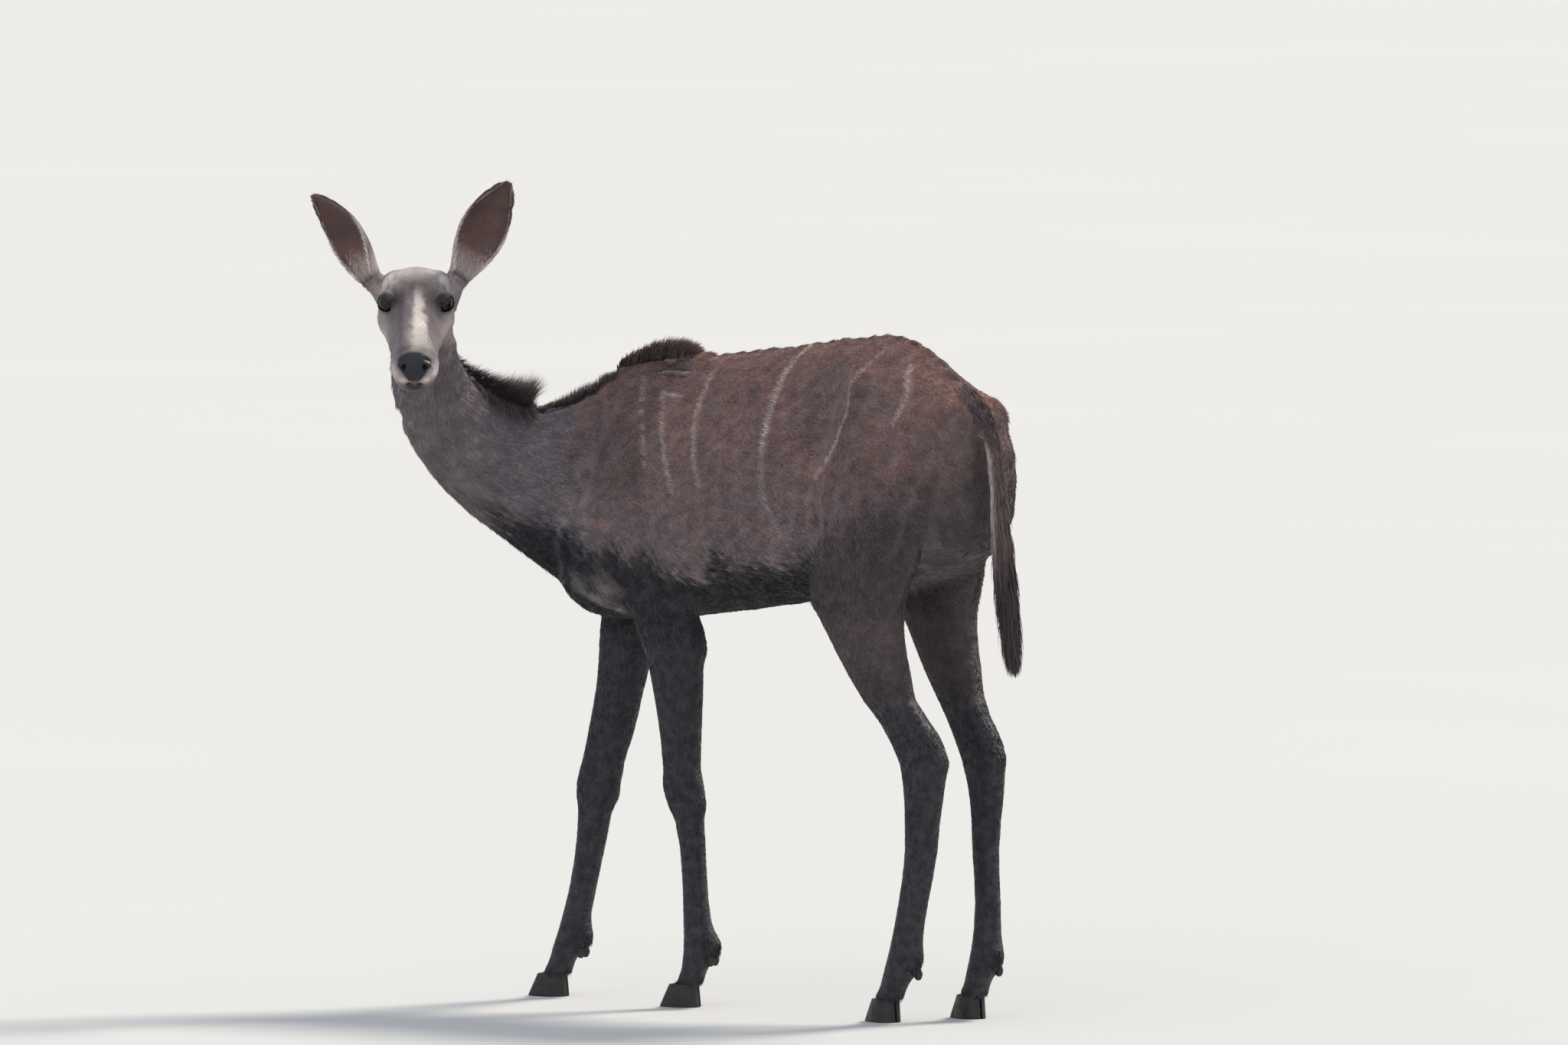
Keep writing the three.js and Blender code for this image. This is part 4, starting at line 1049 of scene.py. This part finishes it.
class Coat:
    """The skin, and the pieces of hair that grow on it."""

    def __init__(self, points, faces, where):
        self.points, self.faces, self.where = points, faces, where
        self.normals = normals_of(points, faces)
        self.tone, self.mark = paint(points, self.normals, where)
        self.tris = np.concatenate([faces[:, [0, 1, 2]], faces[:, [0, 2, 3]]])
        a, b, c = (points[self.tris[:, k]] for k in range(3))
        self.area = np.linalg.norm(np.cross(b - a, c - a), axis=1) / 2e6
        order = np.argsort(a[:, 0] // 60 * 1e4 + a[:, 2])
        self.tris, self.area = self.tris[order], self.area[order]
        self.map = BakeMap()
        self.tree = BVHTree.FromPolygons(points.tolist(), faces.tolist())
        self.short_hair = coat_material("short_hair", True)
        self.long_hair = coat_material("long_hair", True, 1.45)

    def add_skin(self):
        me = mesh_of("skin", in_scene(self.points), self.faces)
        put_colours(me, "tone", self.tone)
        put_colours(me, "mark", self.mark)
        skin = link(me, "skin")
        me.materials.append(coat_material("skin", False))
        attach(skin, "root")
        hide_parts(*FLESH)

    def scatter(self, density):
        """Spreads roots over the skin, density a square metre; gives what reads values there."""
        total = np.cumsum(density[self.tris].mean(1) * self.area * DENSITY)
        count = int(total[-1])
        picks = np.searchsorted(total, (np.arange(count) + draw.random(count)) / count * total[-1])
        tris = self.tris[np.minimum(picks, len(self.tris) - 1)]
        uv = draw.random((count, 2))
        over = uv.sum(1) > 1
        uv[over] = 1 - uv[over]
        weight = np.stack([1 - uv.sum(1), uv[:, 0], uv[:, 1]], 1)
        return lambda values: (values[tris].T * weight.T).T.sum(1)

    def ray(self, start, way):
        """Where rays from start along way meet the skin, and which of them do."""
        ends = [self.tree.ray_cast(Vector(a), Vector(b))[0]
                for a, b in zip(start, np.broadcast_to(way, start.shape))]
        hits = np.array([end is not None for end in ends])
        return np.array([a if end is None else end for a, end in zip(start, ends)], float), hits

    def grow(self, name, density, length, width, lift, slot):
        """Short hair over a part of the skin."""
        at = self.scatter(density)
        root, out = at(self.points), unit(at(self.normals))
        where = {part: at(share) for part, share in self.where.items()}
        lie = lie_of_coat(root, out, where)
        lie = unit(lie + np.cross(out, lie) * draw.normal(0, 0.16, (len(root), 1)))
        lot = lots(root)
        shape = blades(root, out, lie, at(length) * draw.uniform(0.75, 1.25, len(root)),
                       at(width) * draw.uniform(0.8, 1.2, len(root)),
                       at(lift) * draw.uniform(0.6, 1.5, len(root)), steps=1, droop=0)
        self.add(name, shape, root, *paint(root, out, where), lot, self.short_hair, slot)

    def locks(self, name, root, out, lie, length, width, lift, tone, slot,
              steps=3, droop=0.4, sunk=2.0):
        """Longer hair from given roots."""
        count = len(root)
        lot = lots(root)
        shape = blades(root, out, flattened(lie, out), length, np.broadcast_to(width, count),
                       np.broadcast_to(lift, count), steps, droop, sunk)
        self.add(name, shape, root, np.broadcast_to(tone, (count, 3)), np.zeros((count, 3)),
                 lot, self.long_hair, slot)

    def add(self, name, shape, root, tone, mark, lot, material, slot):
        """Joins tufts into pieces that ride on the body, each small enough to bake."""
        verts, tris, tips = shape
        per = verts.shape[1]
        count = -(-len(verts) // (MOST_TRIANGLES // len(tris)))
        spread = np.stack([np.tile([-0.5, 0.0, 0.5], 9)[:per], tips - 0.5], 1) * PATCH
        uv = self.map.places(root)[:, None] + spread
        for i in range(count):
            part = slice(i * len(verts) // count, (i + 1) * len(verts) // count)
            v = verts[part].reshape(-1, 3)
            faces = (tris + np.arange(0, len(v), per)[:, None, None]).reshape(-1, 3)
            title = f"{name}_{i + 1}" if count > 1 else name
            me = mesh_of(title, in_scene(v), faces)
            put_colours(me, "tone", np.repeat(tone[part], per, 0))
            put_colours(me, "mark", np.repeat(mark[part], per, 0))
            put_values(me, "lot", np.repeat(lot[part], per))
            put_values(me, "tip", np.tile(tips, len(v) // per))
            corners = uv[part].reshape(-1, 2)[faces.ravel()]
            me.uv_layers.new(name="OFBake").data.foreach_set("uv", np.float32(corners).ravel())
            me.materials.append(material)
            ob = link(me, title)
            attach(ob, "root")


def many(count):
    return max(int(count * DENSITY), 40)


def grow_withers(coat):
    """The upright mane on the withers."""
    t = draw.random(many(3600))
    x = -208 - 168 * t
    off = draw.normal(0, 8, len(t)).clip(-17, 17)
    start = np.stack([x, midline(x) + off, np.full(len(t), 1400.0)], 1)
    root, hit = coat.ray(start, (0, 0, -1.0))
    root, t, off = root[hit], t[hit], off[hit]
    high = 62 * np.maximum(np.sin(math.pi * (0.04 + 0.92 * t) ** 0.9), 0) ** 0.85 + 3
    side = np.array([0.0, 1.0, 0.0])
    out = unit(np.array([0.10, 0, 1]) + side * (off / 34)[:, None]
               + draw.normal(0, 0.05, (len(t), 3)))
    lie = unit(np.array([1.0, 0.15, 0]) + side * (off / 20)[:, None])
    tone = uneven((0.15, 0.62, 0.0), len(t))
    coat.locks("mane_withers", root, out, lie, high * draw.uniform(0.75, 1.12, len(t)),
               draw.uniform(2.0, 3.4, len(t)), draw.normal(1.12, 0.12, len(t)), tone,
               "coat", droop=0.3)


# Height of the neck's mane in mm, from the shoulder (0) to the head (1)
MANE_HEIGHT = [(0.05, 14), (0.12, 32), (0.22, 38), (0.30, 22), (0.37, 20), (0.41, 60),
               (0.44, 100), (0.56, 88), (0.67, 62), (0.75, 40), (0.85, 18), (0.95, 6)]


def grow_neck_mane(coat):
    """The mane along the top of the neck, with some locks fallen to the side."""
    t = 0.06 + 0.84 * draw.random(many(7500))
    middle, ahead, across, up, _, above, _ = neck_frames(t)
    off = draw.normal(0, 6, len(t)).clip(-14, 14)
    start = middle + up * (above + 70)[:, None] + across * off[:, None]
    root, hit = coat.ray(start, -up)
    keep = hit & (np.linalg.norm(root - middle, axis=1) < above * 1.35 + 12)
    root, t, off, up, across, ahead = (v[keep] for v in (root, t, off, up, across, ahead))
    out = unit(up + across * (off / 30)[:, None] + draw.normal(0, 0.05, (len(t), 3)))
    tone = uneven((0.35, 0.74, 0.0), len(t))
    fallen = draw.random(len(t)) < 0.16
    lie = -ahead + across * (off / 16)[:, None]
    lie[fallen] = (0.9 * across - 0.5 * ahead)[fallen]
    lift = np.where(fallen, draw.normal(0.75, 0.2, len(t)), draw.normal(1.40, 0.11, len(t)))
    high = np.interp(t, *np.array(MANE_HEIGHT).T) * draw.uniform(0.7, 1.12, len(t))
    coat.locks("mane_neck", root, out, lie, high, draw.uniform(1.8, 3.0, len(t)), lift, tone,
               "coat", steps=4, droop=np.where(fallen, 1.0, 0.12))


def grow_tail(coat):
    """Hair down the tail, short at its root and hanging as a tuft at its end."""
    t = 0.06 + 0.93 * draw.random(many(5200)) ** 0.85
    rows = along_rows(TAIL, t)
    down = unit(along_rows(TAIL, t + 0.02)[:, :3] - along_rows(TAIL, t - 0.02)[:, :3])
    angle = draw.uniform(0, 2 * math.pi, len(t))
    side = left_of(PELVIS_YAW)
    back = unit(np.cross(down, side))
    out = unit(side * np.cos(angle)[:, None] + back * np.sin(angle)[:, None])
    root, hit = coat.ray(rows[:, :3] + out * 60, -out)
    keep = hit & (np.linalg.norm(root - rows[:, :3], axis=1) < rows[:, 3] + 4)
    root, out, down, t, back = (v[keep] for v in (root, out, down, t, back))
    long = 24 + 62 * ramp(t, 0.32, 0.62)
    end = 652 + draw.exponential(26, len(t))
    long = np.minimum(long * draw.uniform(0.75, 1.15, len(t)), root[:, 2] - end)
    upper = ramp((out * back).sum(1) * -1, -0.2, 0.6)
    # The darker root is painted shade where the tail hangs from the rump; the dark end is the
    # tail's own black tip
    dark = np.clip(0.30 + 0.34 * upper + 0.62 * ramp(t, 0.5, 0.72)
                   + 0.4 * ramp(0.34 - t, 0, 0.2), 0, 0.97)
    pale = 0.35 * (1 - upper) * (1 - ramp(t, 0.45, 0.62)) * ramp(t, 0.2, 0.3)
    tone = np.stack([0.15 + 0 * t, dark, pale], 1)
    coat.locks("tail_hair", root, out, down, np.maximum(long, 8),
               draw.uniform(2.2, 3.6, len(t)), draw.normal(0.30, 0.08, len(t)).clip(0.1, 0.6),
               tone, "tail_hair", steps=4, droop=0.62)


def grow_ear_hair(coat):
    """Fringes along the ears' edges and long hairs inside their cups."""
    for side, name in ((1, "left"), (-1, "right")):
        _, along, _, face, across = ear_frame(side)
        count = many(900)
        out = draw.uniform(0.14, 0.96, count)
        bend = draw.choice([-1.0, 1.0], count) * draw.uniform(0.94, 1.0, count)
        inward = -across * np.sign(bend)[:, None]
        lie = unit(along + inward * draw.uniform(-0.5, 0.5, (count, 1))
                   + face * draw.uniform(0.0, 0.5, (count, 1)))
        size = (15 - 8 * out) * draw.uniform(0.7, 1.25, count)
        tone = np.stack([0.4 + 0 * out, 0.5 * ramp(out, 0.6, 0.95),
                         0.75 - 0.55 * ramp(out, 0.5, 0.9)], 1)
        coat.locks(f"ear_edge_{name}", ear_points(side, out, bend), unit(face + inward * 0.3),
                   lie, size, 1.3, draw.normal(0.25, 0.2, count), tone, "ear", steps=2, sunk=0.5)
        count = many(1100)
        out = draw.uniform(0.10, 0.72, count)
        bend = draw.uniform(-0.86, 0.86, count)
        root = ear_points(side, out, bend)
        inward = ear_points(side, out + 0.05, bend * 0.4) - root
        size = (24 - 14 * out) * draw.uniform(0.6, 1.2, count)
        tone = np.stack([0.4 + 0 * out, 0.35 * ramp(out, 0.4, 0.7),
                         0.85 - 0.75 * ramp(out, 0.25, 0.6)], 1)
        coat.locks(f"ear_inside_{name}", root, unit(inward + face * 40),
                   unit(along + 0.35 * inward / 20), size, 1.2, draw.normal(0.3, 0.1, count),
                   tone, "ear", steps=2, sunk=0.2)


def grow_lashes(coat):
    """Lashes along the upper lids."""
    for side, name in ((1, "left"), (-1, "right")):
        look, _, _ = eye_axes(side)
        long = flattened(FACE, look)
        high = np.cross(look, long) * -side
        angle = np.linspace(0.35, 2.6, 64)[:, None]
        start = (eye_centre(side) + look * 30 + 18.5 * np.cos(angle) * long
                 + (11.0 * np.sin(angle) + 1.6) * high)
        root, hit = coat.ray(start, -look)
        root, angle = root[hit], angle[hit]
        way = unit(look + 0.25 * high + long * np.cos(angle) * 0.5)
        coat.locks(f"lashes_{name}", root, high, way, draw.uniform(7, 11, len(root)), 0.9, -0.35,
                   (0.2, 0.95, 0.0), "face_coat", steps=2, droop=1.1, sunk=0.0)


# Short hair of each part: length and width in millimetres, lift off the skin in radians
LENGTHS = dict(trunk=15.0, neck=17.0, head=6.5, ear=5.0, leg=11.0, tail=16.0)
WIDTHS = dict(trunk=2.5, neck=2.5, head=1.15, ear=1.0, leg=2.1, tail=2.2)
LIFTS = dict(trunk=0.14, neck=0.16, head=0.14, ear=0.14, leg=0.13, tail=0.2)


def grow_coat(coat):
    """Short hair over all the skin but the eyes and nose, then the longer hair."""
    where, z = coat.where, coat.points[:, 2]
    own = on_face(coat.points)
    head, leg = where["head"], where["leg"]
    trunk = where["trunk"] + where["neck"]
    furred = head * (eye_gap(coat.points) > 25.5) * (1 - nose_pad(own))
    length = over_parts(where, LENGTHS) * (1 - 0.45 * head * ramp(own[:, 0], 200, 330))
    length = length * (1 - 0.35 * leg * ramp(400 - z, 0, 250))
    length = length + 8 * leg * ramp(HOOF_TOP + 26 - z, 0, 16)
    length = length + 12 * leg * ramp(coat.normals[:, 0], 0.2, 0.7) * hill(z - 112, 20)
    width = over_parts(where, WIDTHS) * (1 + 0.4 * coat.mark[:, 0])
    lift = over_parts(where, LIFTS)
    for name, density, slot in (("body", 92000 * np.where(trunk > 0.02, trunk, 0), "coat"),
                                ("legs", 90000 * leg, "leg_coat"),
                                ("face", 380000 * furred, "face_coat"),
                                ("ears", 220000 * where["ear"], "ear")):
        coat.grow("coat_" + name, density, length, width, lift, slot)
    for grow in (grow_withers, grow_neck_mane, grow_tail, grow_ear_hair, grow_lashes):
        grow(coat)


# Eyes and claws

def eye_material(side):
    """Dark wet eye: brown iris, a pupil that lies level, and a darker edge."""
    n = Nodes(f"eye_{side}")
    _, level, upright = eye_axes(side)
    off = n.maths("SUBTRACT", n.position(), in_scene(eye_centre(side)), "VectorMath")

    def ring(wide, high):
        """How far out the surface lies, 1 on an ellipse of these half sizes in metres."""
        total = []
        for way, size in ((level, wide), (upright, high)):
            scaled = n.maths("DIVIDE", n.maths("DOT_PRODUCT", off, way, "VectorMath"), size)
            total.append(n.maths("MULTIPLY", scaled, scaled))
        return n.maths("SQRT", n.maths("ADD", *total))

    streaks = n.ramp(n.noise(700.0, 4.0), [(0.35, shade((15, 10, 8))), (0.7, shade((38, 24, 16)))])
    edge = n.ramp(ring(0.0135, 0.0135), [(0.72, 0.0), (1.0, 1.0)])
    pupil = n.ramp(ring(0.0085, 0.0045), [(0.8, 1.0), (1.1, 0.0)])
    colour = n.mix(pupil, n.mix(edge, streaks, shade((16, 11, 10))), shade((6, 6, 9)))
    n.put(Base_Color=colour, Roughness=0.16, Coat_Weight=0.12, Coat_Roughness=0.04,
          Specular_IOR_Level=0.22)
    return n.material


def hoof_material():
    """Black horn with fine growth lines, dried mud lying on it."""
    n = Nodes("hoof")
    lines = n.noise(60.0, 5.0, stretch=(0.5, 0.5, 6.0))
    horn = n.ramp(lines, [(0.3, shade((17, 17, 19))), (0.7, shade((38, 36, 38)))])
    mud = n.ramp(n.noise(38.0, 6.0), [(0.46, 0.0), (0.6, 1.0)])
    n.put(Base_Color=n.mix(mud, horn, shade((50, 46, 45))),
          Roughness=n.ramp(mud, [(0.0, 0.38), (1.0, 0.8)]))
    n.bump(n.maths("ADD", lines, n.maths("MULTIPLY", mud, 0.8)), 0.5, 0.0015)
    return n.material


def finish_cad_nodes():
    """Rounds and colours the solids that stay: eyes, hooves and dewclaws."""
    hoof = hoof_material()
    for name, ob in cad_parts.items():
        if name in FLESH:
            continue
        ob.modifiers.new("weld", "WELD").merge_threshold = 0.00001
        ob.data.materials.clear()
        if name.startswith("eye"):
            fine = ob.modifiers.new("fine", "SUBSURF")
            fine.levels = fine.render_levels = 2
            ob.data.materials.append(eye_material(1 if name.endswith("left") else -1))
        else:
            bevel = ob.modifiers.new("bevel", "BEVEL")
            bevel.width, bevel.segments, bevel.angle_limit = 0.0022, 2, math.radians(24)
            ob.modifiers.new("even", "WEIGHTED_NORMAL")
            ob.data.materials.append(hoof)
        ob.data.polygons.foreach_set("use_smooth", np.ones(len(ob.data.polygons), bool))


make_camera()
make_studio()
coat = Coat(*make_skin())
coat.add_skin()
grow_coat(coat)
finish_cad_nodes()
